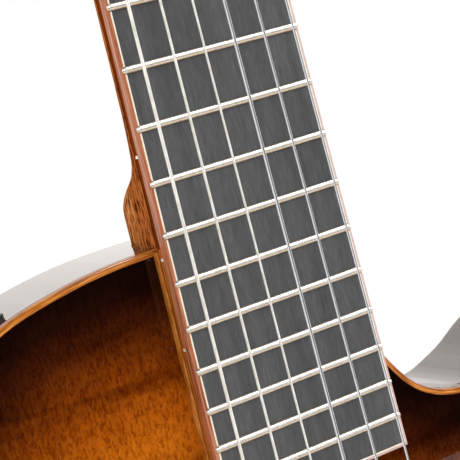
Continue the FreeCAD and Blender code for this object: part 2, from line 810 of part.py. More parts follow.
def make_nut():
    block = slab(-BOARD_HALF_NUT, BOARD_HALF_NUT, -NUT_LENGTH, 0, -NUT_HEIGHT, BOARD_THICKNESS)
    tops = [e for e in edges_at(block, -NUT_HEIGHT) if e.BoundBox.XLength > 5]
    block = block.makeFillet(0.8, tops)
    for index, diameter in enumerate(STRING_DIAMETERS):
        radius = diameter / 2.0 + 0.06
        front = nut_point(index, 0) + Vector(0, 0, -1)
        back = nut_point(index, -NUT_LENGTH) + Vector(0, 0, 1)
        groove = cylinder(radius, front, back)
        x = string_x(index, 0)
        opening = slab(x - radius, x + radius, -NUT_LENGTH - 1, 1, -8, -NUT_STRING_HEIGHT + 0.1)
        block = block.cut(groove.fuse(opening))
    return block


def tie_strips():
    half = BRIDGE_BLOCK_HALF
    bottom = BRIDGE_TOP + INLAY_THICKNESS
    strips = []
    for along in (TIE_FROM, BRIDGE_TO - INLAY_WIDTH):
        strips.append(slab(-half, half, along, along + INLAY_WIDTH, BRIDGE_TOP, bottom))
    return Part.makeCompound(strips)


def make_bridge():
    """Wings and centre block, with the saddle slot, the trough and the tie holes."""
    half = BRIDGE_BLOCK_HALF
    wings = slab(-BRIDGE_HALF, BRIDGE_HALF, BRIDGE_FROM, BRIDGE_TO, BRIDGE_WING_DEPTH, BODY_TOP_DEPTH)
    ends = [e for e in wings.Edges if e.BoundBox.YLength > 1]
    wings = wings.makeFillet(6.0, ends)
    wings = wings.makeFillet(1.6, edges_at(wings, BRIDGE_WING_DEPTH))
    block = slab(-half, half, BRIDGE_FROM, BRIDGE_TO, BRIDGE_TOP, BODY_TOP_DEPTH)
    front = [e for e in edges_at(block, BRIDGE_TOP) if abs(e.BoundBox.ZMax + BRIDGE_FROM) < 1e-3]
    front = [e for e in front if e.BoundBox.XLength > 5]
    block = block.makeFillet(3.0, front)
    trough = slab(-half - 1, half + 1, TROUGH_FROM, TIE_FROM, BRIDGE_TOP - 1, TROUGH_DEPTH)
    slot_end = SADDLE_HALF + 0.1
    slot_from = SADDLE_ALONG - SADDLE_WIDTH / 2.0
    slot = slab(-slot_end, slot_end, slot_from, slot_from + SADDLE_WIDTH, -9, SADDLE_SLOT_DEPTH)
    bridge = wings.fuse(block).cut(trough).cut(slot).cut(tie_strips())
    for index, diameter in enumerate(STRING_DIAMETERS):
        x = string_x(index, SADDLE_ALONG)
        front = at(x, TIE_FROM - 2, TIE_HOLE_DEPTH)
        back = at(x, BRIDGE_TO + 2, TIE_HOLE_DEPTH)
        bridge = bridge.cut(cylinder(diameter / 2.0 + TIE_HOLE_CLEARANCE, front, back))
    return bridge


def make_saddle():
    half = SADDLE_HALF
    bottom = SADDLE_SLOT_DEPTH - PICKUP_THICKNESS
    side = SADDLE_WIDTH / 2.0 - 0.05
    corners = [
        at(-half, SADDLE_ALONG - side, bottom),
        at(half, SADDLE_ALONG - side, bottom),
        at(half, SADDLE_ALONG - side, saddle_top(half)),
        at(-half, SADDLE_ALONG - side, saddle_top(-half)),
    ]
    blade = Part.Face(Part.makePolygon(corners + corners[:1])).extrude(Vector(0, 0, -2 * side))
    crest = [e for e in blade.Edges if e.BoundBox.XLength > half and e.BoundBox.YMax < 0]
    return blade.makeFillet(side - 0.05, crest)


def make_pickup():
    side = SADDLE_WIDTH / 2.0 - 0.1
    near = SADDLE_ALONG - side
    far = SADDLE_ALONG + side
    bottom = SADDLE_SLOT_DEPTH
    return slab(-SADDLE_HALF, SADDLE_HALF, near, far, bottom - PICKUP_THICKNESS, bottom)


# ---------------------------------------------------------------- tuning machines


def make_tuner_plate(side):
    """The side plate that carries one side's three machines."""
    outer = HEAD_HALF + PLATE_THICKNESS
    corner = Vector(min(side * HEAD_HALF, side * outer), PLATE_FRONT, PLATE_BOTTOM)
    plate = Part.makeBox(PLATE_THICKNESS, PLATE_BACK - PLATE_FRONT, PLATE_TOP - PLATE_BOTTOM, corner)
    corners = [e for e in plate.Edges if e.BoundBox.XLength > PLATE_THICKNESS - 0.1]
    plate = plate.makeFillet(3.0, corners)
    worm_x = side * (outer + GEAR_GAP + GEAR_THICKNESS / 2.0)
    reach = GEAR_GAP + GEAR_THICKNESS / 2.0 + EAR_HEIGHT / 2.0
    for height in ROLLER_HEIGHTS:
        for depth in (WORM_FRONT - 0.3 - EAR_THICKNESS, WORM_BACK + 0.3):
            start = min(side * (outer - 0.2), side * (outer + reach))
            corner = Vector(start, depth, height + WORM_RISE - EAR_HEIGHT / 2.0)
            plate = plate.fuse(Part.makeBox(reach + 0.2, EAR_THICKNESS, EAR_HEIGHT, corner))
        shaft = cylinder(
            SHAFT_RADIUS + SHAFT_CLEARANCE,
            Vector(worm_x, -5, height + WORM_RISE),
            Vector(worm_x, 30, height + WORM_RISE),
        )
        axle = cylinder(
            AXLE_RADIUS + SHAFT_CLEARANCE,
            Vector(side * (HEAD_HALF - 1), ROLLER_DEPTH, height),
            Vector(side * (outer + 1), ROLLER_DEPTH, height),
        )
        plate = plate.cut(shaft).cut(axle)
    for place_side, depth, height in plate_screw_places():
        if place_side == side:
            start = Vector(side * (HEAD_HALF - 1), depth, height)
            plate = plate.cut(cylinder(SCREW_RADIUS, start, Vector(side * (outer + 1), depth, height)))
    return head_place(plate.removeSplitter())


def make_gear(side, height):
    """The toothed wheel on a roller's outer end."""
    points = []
    steps = GEAR_TEETH * 4
    for step in range(steps):
        radius = GEAR_TIP if step % 4 < 2 else GEAR_ROOT
        shift = 0.12 if step % 4 in (0, 3) else -0.12
        angle = 2 * math.pi * (step + shift) / steps
        points.append(Vector(0, radius * math.cos(angle), radius * math.sin(angle)))
    start = side * (HEAD_HALF + PLATE_THICKNESS + GEAR_GAP)
    face = Part.Face(Part.makePolygon(points + points[:1]))
    face.translate(Vector(start, ROLLER_DEPTH, height))
    return face.extrude(Vector(side * GEAR_THICKNESS, 0, 0))


def make_roller(index):
    """A string roller with its axle, gear and end screw."""
    side, place = roller_of(index)
    height = ROLLER_HEIGHTS[place]
    inner = Vector(side * ROLLER_INNER, ROLLER_DEPTH, height)
    shoulder = Vector(side * (HEAD_HALF - 0.3), ROLLER_DEPTH, height)
    barrel = cylinder(ROLLER_RADIUS, inner, shoulder)
    end = side * (HEAD_HALF + PLATE_THICKNESS + GEAR_GAP + GEAR_THICKNESS)
    axle = cylinder(AXLE_RADIUS, shoulder, Vector(end, ROLLER_DEPTH, height))
    cap = Part.makeCone(3.2, 2.2, 1.4, Vector(end, ROLLER_DEPTH, height), Vector(side, 0, 0))
    track = side * ROLLER_TRACKS[place]
    hole = cylinder(0.8, Vector(track, -5, height), Vector(track, 25, height))
    roller = barrel.cut(hole).fuse([axle, make_gear(side, height), cap])
    return head_place(roller)


def make_key(index):
    """The worm shaft and its button, which turn as one."""
    side, place = roller_of(index)
    height = ROLLER_HEIGHTS[place] + WORM_RISE
    x = side * (HEAD_HALF + PLATE_THICKNESS + GEAR_GAP + GEAR_THICKNESS / 2.0)
    front = WORM_FRONT - EAR_THICKNESS - 0.8
    shaft = cylinder(SHAFT_RADIUS, Vector(x, front, height), Vector(x, SHAFT_END, height))
    worm = cylinder(WORM_RADIUS, Vector(x, WORM_FRONT, height), Vector(x, WORM_BACK, height))
    collar_start = WORM_BACK + 0.6 + EAR_THICKNESS
    collar = cylinder(2.4, Vector(x, collar_start, height), Vector(x, collar_start + 2.5, height))
    key = shaft.fuse([worm, collar])
    button = Part.makeSphere(1.0)
    stretch = FreeCAD.Matrix()
    stretch.scale(BUTTON_HALF_THICKNESS, BUTTON_LENGTH / 2.0, BUTTON_HALF_WIDTH)
    button = button.transformGeometry(stretch)
    button.translate(Vector(x, BUTTON_FRONT + BUTTON_LENGTH / 2.0, height))
    neck = cylinder(2.6, Vector(x, BUTTON_FRONT - 2.0, height), Vector(x, BUTTON_FRONT + 4.0, height))
    return head_place(key.fuse([neck, button]))


def make_tuner_screws():
    screws = []
    outer = HEAD_HALF + PLATE_THICKNESS
    for side, depth, height in plate_screw_places():
        screws.append(screw(Vector(side * outer, depth, height), Vector(-side, 0, 0), SCREW_LENGTH))
    for x, height in cover_screw_places():
        screws.append(screw(Vector(x, -ROD_COVER_THICKNESS, height), Vector(0, 1, 0), SCREW_LENGTH))
    return head_place(Part.makeCompound(screws))


# ---------------------------------------------------------------- electrics


def preamp_window(wire):
    """The curved panel seat: the shoulder's strip between two places and two depths."""
    outer = Part.Wire(Part.__sortEdges__(Part.Face(wire).makeOffset2D(PANEL_PROUD).Edges))
    shell = prism(outer, PANEL_DEPTH[0], PANEL_DEPTH[1]).cut(prism(wire, 0, 60))
    window = slab(PANEL_X[0], PANEL_X[1], 380, 460, PANEL_DEPTH[0], PANEL_DEPTH[1])
    return shell.common(window)


def knob_bores(wire, radius):
    bores = []
    for x in KNOB_X:
        foot, normal = body_normal(wire, x)
        base = foot + Vector(0, KNOB_DEPTH, 0)
        bores.append(cylinder(radius, base - normal * 14, base + normal * 4))
    return Part.makeCompound(bores)


def make_knob(wire, x):
    foot, normal = body_normal(wire, x)
    base = foot + Vector(0, KNOB_DEPTH, 0)
    start = base + normal * (PANEL_PROUD + 0.4)
    cap = cylinder(KNOB_RADIUS, start, start + normal * KNOB_HEIGHT)
    rims = [e for e in cap.Edges if len(e.Vertexes) == 1]
    rims.sort(key=lambda e: (e.CenterOfMass - base).Length)
    cap = cap.makeFillet(1.0, [rims[-1]])
    shaft = cylinder(KNOB_SHAFT_RADIUS, base - normal * 12, start + normal)
    return cap.fuse(shaft)


def make_preamp_box(wire):
    """The circuit's housing, which fits the chamber's wall and takes the three shafts."""
    chamber = prism(inner_wire(wire, RIM_WIDTH + PREAMP_GAP), *PREAMP_DEPTH)
    box = slab(*PREAMP_X, *PREAMP_ALONG, *PREAMP_DEPTH).common(chamber)
    return box.cut(knob_bores(wire, KNOB_SHAFT_RADIUS + 0.3))


def battery_place():
    """The battery opening's corner and its size: across, into the body, and along."""
    width, height, length = BOX_OPENING
    back = BODY_TOP_DEPTH + BODY_THICKNESS
    return BATTERY_X - width / 2.0, BATTERY_ALONG - length / 2.0, back, width, height, length


def battery_outer(extra):
    x0, along0, back, width, height, length = battery_place()
    wall = BOX_WALL + extra
    x1 = x0 + width + wall
    along1 = along0 + length + wall
    return slab(x0 - wall, x1, along0 - wall, along1, back - height - wall, back)


def make_battery_box():
    x0, along0, back, width, height, length = battery_place()
    box = battery_outer(0.0)
    inside = slab(x0, x0 + width, along0, along0 + length, back - height, back + 1)
    box = box.cut(inside)
    pin_depth = back - DOOR_THICKNESS / 2.0
    pin_along = along0 + DOOR_THICKNESS / 2.0 + DOOR_GAP
    left = at(x0 - 1.3, pin_along, pin_depth)
    right = at(x0 + width + 1.3, pin_along, pin_depth)
    return box.cut(cylinder(DOOR_PIN_RADIUS + 0.05, left, right))


def make_battery_door():
    """The flush door, with its hinge edge rounded about its two pins."""
    x0, along0, back, width, height, length = battery_place()
    radius = DOOR_THICKNESS / 2.0
    pin_depth = back - radius
    pin_along = along0 + radius + DOOR_GAP
    left = x0 + DOOR_GAP
    right = x0 + width - DOOR_GAP
    panel = slab(left, right, pin_along, along0 + length - DOOR_GAP, back - DOOR_THICKNESS, back)
    edge = cylinder(radius, at(left, pin_along, pin_depth), at(right, pin_along, pin_depth))
    pin_left = at(left - DOOR_PIN_LENGTH, pin_along, pin_depth)
    pin_right = at(right + DOOR_PIN_LENGTH, pin_along, pin_depth)
    pins = cylinder(DOOR_PIN_RADIUS, pin_left, pin_right)
    notch_along = along0 + length + 2.0
    notch = cylinder(NOTCH_RADIUS, at(BATTERY_X, notch_along, back - 5), at(BATTERY_X, notch_along, back + 5))
    return panel.fuse([edge, pins]).removeSplitter().cut(notch)


def make_battery():
    width, height, length = BATTERY_SIZE
    back = BODY_TOP_DEPTH + BODY_THICKNESS
    base = back - BOX_OPENING[1]
    cell = slab(
        BATTERY_X - width / 2.0,
        BATTERY_X + width / 2.0,
        BATTERY_ALONG - length / 2.0,
        BATTERY_ALONG + length / 2.0,
        base,
        base + height,
    )
    return cell.makeFillet(1.5, [e for e in cell.Edges if e.BoundBox.XLength > width - 1])


def jack_tool(radius, length):
    mouth = at(JACK_X, JACK_SEAT + 8, BUTTON_DEPTH)
    return cylinder(radius, mouth, at(JACK_X, JACK_SEAT - length, BUTTON_DEPTH))


def make_jack():
    """Socket barrel with its nut; a quarter-inch plug goes in from below."""
    seat = JACK_SEAT + JACK_PLATE_THICKNESS
    end = JACK_SEAT - JACK_LENGTH
    barrel = cylinder(JACK_RADIUS, at(JACK_X, seat + 2.5, BUTTON_DEPTH), at(JACK_X, end, BUTTON_DEPTH))
    corners = []
    for step in range(7):
        angle = math.radians(60 * step)
        x = JACK_X + JACK_NUT_RADIUS * math.cos(angle)
        corners.append(at(x, seat, BUTTON_DEPTH + JACK_NUT_RADIUS * math.sin(angle)))
    nut = Part.Face(Part.makePolygon(corners)).extrude(Vector(0, 0, -2.0))
    bore = cylinder(JACK_BORE, at(JACK_X, seat + 3, BUTTON_DEPTH), at(JACK_X, end + 2, BUTTON_DEPTH))
    return barrel.fuse(nut).cut(bore)


def make_jack_plate():
    start = at(JACK_X, JACK_SEAT, BUTTON_DEPTH)
    face = at(JACK_X, JACK_SEAT + JACK_PLATE_THICKNESS, BUTTON_DEPTH)
    plate = cylinder(JACK_PLATE_RADIUS - 0.1, start, face)
    return plate.cut(cylinder(JACK_RADIUS, start + Vector(0, 0, 5), start - Vector(0, 0, 10)))


# ---------------------------------------------------------------- strap buttons


def strap_places():
    """Foot and outward direction of the two strap buttons."""
    heel_depth = NECK_SECTIONS[-1][1]
    end = (at(0, OUTLINE[16][1], BUTTON_DEPTH), Vector(0, 0, -1))
    heel = (at(0, HEEL_BUTTON_ALONG, heel_depth), Vector(0, 1, 0))
    return end, heel


def stand_on(shape, foot, out):
    """Moves a shape made along Z to its foot, pointing out of the instrument."""
    shape.Placement = FreeCAD.Placement(foot, FreeCAD.Rotation(Vector(0, 0, 1), out))
    return shape


def make_strap_button(foot, out):
    """A waisted button turned about its screw."""
    points = [Vector(radius, 0, height) for radius, height in STRAP_PROFILE]
    wire = Part.makePolygon(points + points[:1])
    turned = Part.Face(wire).revolve(Vector(0, 0, 0), Vector(0, 0, 1), 360)
    bore = Part.makeCylinder(STRAP_BORE_RADIUS, 20, Vector(0, 0, -1))
    seat = Part.makeCone(STRAP_BORE_RADIUS, 3.6, 2.2, Vector(0, 0, STRAP_SINK_FROM - 0.1))
    return stand_on(turned.cut(bore).cut(seat), foot, out)


def make_strap_screw(foot, out):
    tip = Vector(0, 0, -STRAP_SHANK_LENGTH)
    shank = Part.makeCylinder(STRAP_SHANK_RADIUS, STRAP_SHANK_LENGTH + 12.0, tip)
    head = Part.makeCone(STRAP_SHANK_RADIUS, 3.5, 2.1, Vector(0, 0, STRAP_SINK_FROM))
    head = head.cut(Part.makeBox(8, 0.8, 2, Vector(-4, -0.4, STRAP_SINK_FROM + 1.3)))
    return stand_on(shank.fuse(head), foot, out)


def make_strap_felt(foot, out):
    ring = Part.makeCylinder(STRAP_FELT_RADIUS, STRAP_FELT_THICKNESS)
    hole = Part.makeCylinder(STRAP_BORE_RADIUS, 3, Vector(0, 0, -1))
    return stand_on(ring.cut(hole), foot, out)


# ---------------------------------------------------------------- output


def save(name, shape):
    shape.exportStep(os.path.join("parts", name + ".step"))
    facts = (name, shape.Volume, shape.isValid(), len(shape.Solids))
    print("%-24s volume %10.1f valid %s solids %d" % facts)


def main():
    os.makedirs("parts", exist_ok=True)
    wire = body_outline()
    core, plate_top, plate_back, ring_top, ring_back = make_body(wire)
    end_place, heel_place = strap_places()
    end_foot = end_place[0]
    bore_end = end_foot + Vector(0, 0, STRAP_BORE_DEPTH)
    end_bore = cylinder(STRAP_BORE_RADIUS, end_foot + Vector(0, 0, -2), bore_end)
    seat = at(JACK_X, JACK_SEAT, BUTTON_DEPTH)
    plate_seat = cylinder(JACK_PLATE_RADIUS, seat, seat + Vector(0, 0, -20))
    core = core.cut(knob_bores(wire, KNOB_SHAFT_RADIUS + 0.3)).cut(end_bore)
    core = core.cut(jack_tool(JACK_RADIUS + 0.3, JACK_LENGTH)).cut(plate_seat)
    save("body_core", core)
    save("top_plate", plate_top)
    save("back_plate", plate_back.cut(battery_outer(0.1)))
    save("top_binding", ring_top)
    save("back_binding", ring_back)
    save("top_braces", make_braces(wire))
    save("neck", make_neck())
    save("heel_cap", make_heel_cap())
    save("truss_rod", make_rod())
    save("truss_rod_nut", make_rod_nut())
    save("truss_rod_cover", make_rod_cover())
    save("fingerboard", make_board())
    save("fingerboard_purfling", make_board_purfling())
    save("fingerboard_binding", make_board_binding())
    save("side_dots", dots())
    save("frets", make_frets())
    save("nut", make_nut())
    save("headstock_veneer", make_veneer())
    save("tuner_plate_bass", make_tuner_plate(-1))
    save("tuner_plate_treble", make_tuner_plate(1))
    save("tuner_screws", make_tuner_screws())
    for index in range(6):
        save("tuner_key_%d" % (index + 1), make_key(index))
        save("string_roller_%d" % (index + 1), make_roller(index))
        save("string_%d" % (index + 1), make_string(index))
    save("bridge", make_bridge())
    save("tie_block_inlay", tie_strips())
    save("saddle", make_saddle())
    save("saddle_pickup", make_pickup())
    save("preamp_panel", preamp_window(wire).cut(knob_bores(wire, KNOB_SHAFT_RADIUS + 0.1)))
    save("preamp_box", make_preamp_box(wire))
    for number, x in enumerate(KNOB_X):
        save("preamp_knob_%d" % (number + 1), make_knob(wire, x))
    save("battery_box", make_battery_box())
    save("battery_door", make_battery_door())
    save("battery", make_battery())
    save("output_jack", make_jack())
    save("jack_plate", make_jack_plate())
    save("strap_button_end", make_strap_button(*end_place))
    save("strap_button_heel", make_strap_button(*heel_place))
    places = (end_place, heel_place)
    save("strap_screws", Part.makeCompound([make_strap_screw(*place) for place in places]))
    save("strap_felts", Part.makeCompound([make_strap_felt(*place) for place in places]))


main()
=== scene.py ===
import json
import math

import bpy
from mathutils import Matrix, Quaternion, Vector, geometry, kdtree


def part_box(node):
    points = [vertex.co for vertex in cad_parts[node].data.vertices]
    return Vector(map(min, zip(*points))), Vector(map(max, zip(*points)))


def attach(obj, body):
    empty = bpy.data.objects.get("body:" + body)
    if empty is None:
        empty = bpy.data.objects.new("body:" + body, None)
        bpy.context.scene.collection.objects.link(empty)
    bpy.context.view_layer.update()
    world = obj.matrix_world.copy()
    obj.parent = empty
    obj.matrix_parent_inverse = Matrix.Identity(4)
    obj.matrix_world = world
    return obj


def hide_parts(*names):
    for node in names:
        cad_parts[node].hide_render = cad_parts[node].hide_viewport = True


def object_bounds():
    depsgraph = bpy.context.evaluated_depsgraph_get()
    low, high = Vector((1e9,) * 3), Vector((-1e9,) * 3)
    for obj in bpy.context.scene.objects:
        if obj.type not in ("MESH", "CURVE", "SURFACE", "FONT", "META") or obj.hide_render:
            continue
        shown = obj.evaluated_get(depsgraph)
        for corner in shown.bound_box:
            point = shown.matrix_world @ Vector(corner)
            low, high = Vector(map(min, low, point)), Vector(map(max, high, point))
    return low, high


# Slim cutaway nylon-string guitar. Metres, +Z up the neck, the strings face -Y, +X is the treble side.
# The origin is where the fingerboard meets the nut, so the fingerboard's surface is the plane y = 0.

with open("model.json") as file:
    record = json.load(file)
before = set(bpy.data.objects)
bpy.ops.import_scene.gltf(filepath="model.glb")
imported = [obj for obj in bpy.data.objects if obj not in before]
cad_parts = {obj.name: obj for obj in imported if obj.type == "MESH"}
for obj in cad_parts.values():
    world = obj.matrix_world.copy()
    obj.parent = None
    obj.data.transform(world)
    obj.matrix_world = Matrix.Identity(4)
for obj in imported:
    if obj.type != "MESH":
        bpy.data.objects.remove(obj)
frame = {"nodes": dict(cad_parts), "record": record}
cad_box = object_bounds()
nodes = frame["nodes"]
joints = {joint["name"]: joint for joint in frame["record"]["behaviour"]["joints"]}

MM = 0.001
STRINGS = range(1, 7)
WOUND = (1, 2, 3)
NYLON = (4, 5, 6)
FLOOR_HALF = 1.1
FLOOR_DROP = 0.06

# Colours, and the share of its own colour that a dull metal or a vein of bone keeps
BLACK = (0.0, 0.0, 0.0)
WHITE = (1.0, 1.0, 1.0)
BRASS = (0.80, 0.60, 0.28)
DULL = 0.82
VEIN = 0.86
WHOLE = (1, 1, 1)

# Fingerboard and neck: the depth of the board, how far to the treble side its edge's painted highlight
# turns paler, and how far the painted shade of the groove under it reaches
BOARD_THICKNESS = 6.0 * MM
TREBLE_HIGHLIGHT_REACH = 20.0 * MM
GROOVE_SHADE_REACH = 8.2 * MM

# The strip between the board's foot and the top: how far it stands out and how high it rises
BORDER_WIDTH = 1.9 * MM
BORDER_PROUD = 0.3 * MM
BORDER_RISE = 2.45 * MM
BORDER_GAP = 1 * MM
BORDER_RINGS = 24

# Top plate: the neck's slot goes a little past the truss rod, and the burst ends BURST_REACH inside
NECK_SLOT_HALF = 15.5 * MM
NECK_SLOT_PAST_ROD = 12 * MM
BURST_REACH = 54.0 * MM
TOP_EDGE_STEP = 2 * MM
TOP_SPACING = 4 * MM
TOP_CLEAR = 0.6
SAME_PLACE = 1e-6

# Binding: its flat front, its rounded corner and a point part of the way down its side
BINDING_FLAT = 0.5 * MM
BINDING_ROUND = 0.9 * MM
BINDING_ARC_STEPS = 5
BINDING_MID = 0.6
BINDING_STEP = 3 * MM
MITRE_LIMIT = 0.5

# Along a tuner key's axis, from its joint's place
BUTTON_FOOT = 9.0 * MM
WORM_FROM = -10.2 * MM
WORM_TO = -0.8 * MM
WORM_RADIUS = 2.1 * MM
WORM_PITCH = 2.5 * MM
THREAD_RADIUS = 0.24 * MM
THREAD_STEPS = 28
THREAD_SIDES = 8
THREAD_TIP = 0.4

# Strings: how their CAD tubes are read, and the ridge of a winding as a share of the radius
RING_GAP = 1.5 * MM
NUT_REACH = 2 * MM
WINDING_PITCH = 0.42 * MM
WINDING_DEPTH = 0.12
NYLON_STEP = 4 * MM
NYLON_SIDES = 20
CORD_SIDES = 12
TUBE_SIDE = Vector((0.31, 0.77, 0.55))

# Turns round a roller. In string radii: off the barrel, from one turn to the next, and thickness
BARREL_RADIUS = 4.95 * MM
ROLLER_TURNS = 3.5
ROLLER_STEPS = 36
ROLLER_SINK = 0.96
ROLLER_SPREAD = 2.1
ROLLER_THIN = 0.97
KNOT_STEP = 0.35 * MM
KNOT_THIN = 0.95

# Camera, at the viewing angle of the reference
CAMERA_PLACE = Vector((-0.2173, -0.4076, -0.3398))
CAMERA_AZIMUTH = math.radians(27.03)
CAMERA_ELEVATION = math.radians(-7.01)
CAMERA_ROLL = math.radians(-14.48)
CAMERA_LENS = 122.55


# ---------------------------------------------------------------- camera, lights and floor


def make_camera():
    data = bpy.data.cameras.new("camera")
    data.lens = CAMERA_LENS
    data.clip_start = 0.01
    camera = bpy.data.objects.new("camera", data)
    flat = math.cos(CAMERA_ELEVATION)
    forward = Vector((
        math.sin(CAMERA_AZIMUTH) * flat,
        math.cos(CAMERA_AZIMUTH) * flat,
        math.sin(CAMERA_ELEVATION),
    ))
    turn = forward.to_track_quat("-Z", "Y") @ Quaternion((0, 0, 1), CAMERA_ROLL)
    camera.rotation_mode = "QUATERNION"
    camera.rotation_quaternion = turn
    camera.location = CAMERA_PLACE
    bpy.context.collection.objects.link(camera)
    bpy.context.scene.camera = camera


def area_light(name, place, target, size, power, gloss=True, diffuse=True):
    data = bpy.data.lights.new(name, "AREA")
    data.shape = "RECTANGLE"
    data.size, data.size_y = size
    data.energy = power
    light = bpy.data.objects.new(name, data)
    light.location = place
    light.rotation_mode = "QUATERNION"
    light.rotation_quaternion = (Vector(target) - Vector(place)).to_track_quat("-Z", "Y")
    light.visible_camera = False
    light.visible_glossy = gloss
    light.visible_diffuse = diffuse
    bpy.context.collection.objects.link(light)


def make_world():
    """White to the eye; as light, bright behind the object and nearly dark in front of it."""
    world = bpy.data.worlds.new("studio")
    bpy.context.scene.world = world
    world.use_nodes = True
    tree = world.node_tree
    tree.nodes.clear()
    out = tree.nodes.new("ShaderNodeOutputWorld")
    place = tree.nodes.new("ShaderNodeTexCoord")
    split = tree.nodes.new("ShaderNodeSeparateXYZ")
    tree.links.new(place.outputs["Generated"], split.inputs[0])
    ramp = tree.nodes.new("ShaderNodeMapRange")
    for socket, value in (("From Min", -0.25), ("From Max", 0.4), ("To Min", 0.02), ("To Max", 1.2)):
        ramp.inputs[socket].default_value = value
    tree.links.new(split.outputs["Y"], ramp.inputs["Value"])
    lit = tree.nodes.new("ShaderNodeBackground")
    lit.inputs["Color"].default_value = (1, 0.962, 0.925, 1)
    tree.links.new(ramp.outputs["Result"], lit.inputs["Strength"])
    seen = tree.nodes.new("ShaderNodeBackground")
    seen.inputs["Color"].default_value = (1, 1, 1, 1)
    path = tree.nodes.new("ShaderNodeLightPath")
    mix = tree.nodes.new("ShaderNodeMixShader")
    tree.links.new(path.outputs["Is Camera Ray"], mix.inputs[0])
    tree.links.new(lit.outputs[0], mix.inputs[1])
    tree.links.new(seen.outputs[0], mix.inputs[2])
    tree.links.new(mix.outputs[0], out.inputs[0])


def make_floor():
    low = cad_box[0].z - FLOOR_DROP
    half = FLOOR_HALF
    corners = [(-half, -half, low), (half, -half, low), (half, half, low), (-half, half, low)]
    mesh = bpy.data.meshes.new("floor")
    mesh.from_pydata(corners, [], [(0, 1, 2, 3)])
    floor = bpy.data.objects.new("floor", mesh)
    bpy.context.collection.objects.link(floor)
    paint = Paint("floor_paint", rough=0.7)
    cloud = paint.noise(paint.coords(WHOLE), 6.0)
    paint.colour(paint.ramp(cloud, [(0, (0.86,) * 3), (1, (0.9,) * 3)]))
    mesh.materials.append(paint.material)


# ---------------------------------------------------------------- materials


class Paint:
    """A procedural material: a Principled shader and short ways to drive it."""

    def __init__(self, name, rough=0.5, metal=0.0, coat=0.0, coat_rough=0.03, ior=1.5, specular=0.5):
        self.material = bpy.data.materials.new(name)
        self.material.use_nodes = True
        self.tree = self.material.node_tree
        self.shader = self.tree.nodes["Principled BSDF"]
        self.set("Roughness", rough)
        self.set("Metallic", metal)
        self.set("Coat Weight", coat)
        self.set("Coat Roughness", coat_rough)
        self.set("IOR", ior)
        self.set("Specular IOR Level", specular)

    def set(self, socket, value):
        self.shader.inputs[socket].default_value = value

    def node(self, kind, **settings):
        made = self.tree.nodes.new(kind)
        for key, value in settings.items():
            setattr(made, key, value)
        return made

    def link(self, source, target):
        self.tree.links.new(source, target)

    def coords(self, scale):
        """The object's own coordinates, scaled."""
        place = self.node("ShaderNodeTexCoord")
        mapping = self.node("ShaderNodeMapping")
        mapping.inputs["Scale"].default_value = scale
        self.link(place.outputs["Object"], mapping.inputs["Vector"])
        return mapping.outputs["Vector"]

    def noise(self, vector, scale, detail=3.0, rough=0.5, distortion=0.0):
        made = self.node("ShaderNodeTexNoise")
        made.inputs["Scale"].default_value = scale
        made.inputs["Detail"].default_value = detail
        made.inputs["Roughness"].default_value = rough
        made.inputs["Distortion"].default_value = distortion
        self.link(vector, made.inputs["Vector"])
        return made.outputs["Fac"]

    def ramp(self, value, stops):
        """A colour that changes evenly between stops, each a place and its colour."""
        made = self.node("ShaderNodeValToRGB")
        points = made.color_ramp.elements
        while len(points) < len(stops):
            points.new(0.5)
        for point, (place, colour) in zip(points, stops):
            point.position = place
            point.color = (*colour, 1.0)
        self.link(value, made.inputs["Fac"])
        return made.outputs["Color"]

    def mask(self, value, low, high):
        """Black below low and white above high."""
        return self.ramp(value, [(low, BLACK), (high, WHITE)])

    def darken(self, share, base, by):
        return self.blend(share, base, by, "MULTIPLY")

    def blend(self, share, first, second, mode="MIX"):
        made = self.node("ShaderNodeMix", data_type="RGBA", blend_type=mode)
        for value, socket in ((share, made.inputs[0]), (first, made.inputs[6]), (second, made.inputs[7])):
            if isinstance(value, (int, float)):
                socket.default_value = value
            elif isinstance(value, tuple):
                socket.default_value = (*value, 1.0)
            else:
                self.link(value, socket)
        return made.outputs[2]

    def math(self, kind, first, second=0.0, clamp=False):
        made = self.node("ShaderNodeMath", operation=kind, use_clamp=clamp)
        for value, socket in ((first, made.inputs[0]), (second, made.inputs[1])):
            if isinstance(value, (int, float)):
                socket.default_value = value
            else:
                self.link(value, socket)
        return made.outputs[0]

    def axis(self, letter):
        """One of the object's own coordinates, in metres."""
        return self.part(self.node("ShaderNodeTexCoord").outputs["Object"], letter)

    def facing(self, letter):
        """One part of the surface's own direction, from -1 to 1."""
        return self.part(self.node("ShaderNodeNewGeometry").outputs["Normal"], letter)

    def part(self, vector, letter):
        split = self.node("ShaderNodeSeparateXYZ")
        self.link(vector, split.inputs[0])
        return split.outputs[letter]

    def over_body(self):
        """1 on the body's side of where the body starts along the neck, and 0 above it."""
        return self.math("LESS_THAN", self.axis("Z"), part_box("body_core")[1].z)

    def layer(self, name):
        return self.node("ShaderNodeAttribute", attribute_name=name).outputs["Fac"]

    def colour(self, source):
        self.link(source, self.shader.inputs["Base Color"])

    def rough(self, value, low, high):
        made = self.node("ShaderNodeMapRange")
        made.inputs["To Min"].default_value = low
        made.inputs["To Max"].default_value = high
        self.link(value, made.inputs["Value"])
        self.link(made.outputs["Result"], self.shader.inputs["Roughness"])

    def coat(self, share):
        self.link(share, self.shader.inputs["Coat Weight"])

    def bump(self, height, depth, strength):
        made = self.node("ShaderNodeBump")
        made.inputs["Strength"].default_value = strength
        made.inputs["Distance"].default_value = depth
        self.link(height, made.inputs["Height"])
        self.link(made.outputs["Normal"], self.shader.inputs["Normal"])


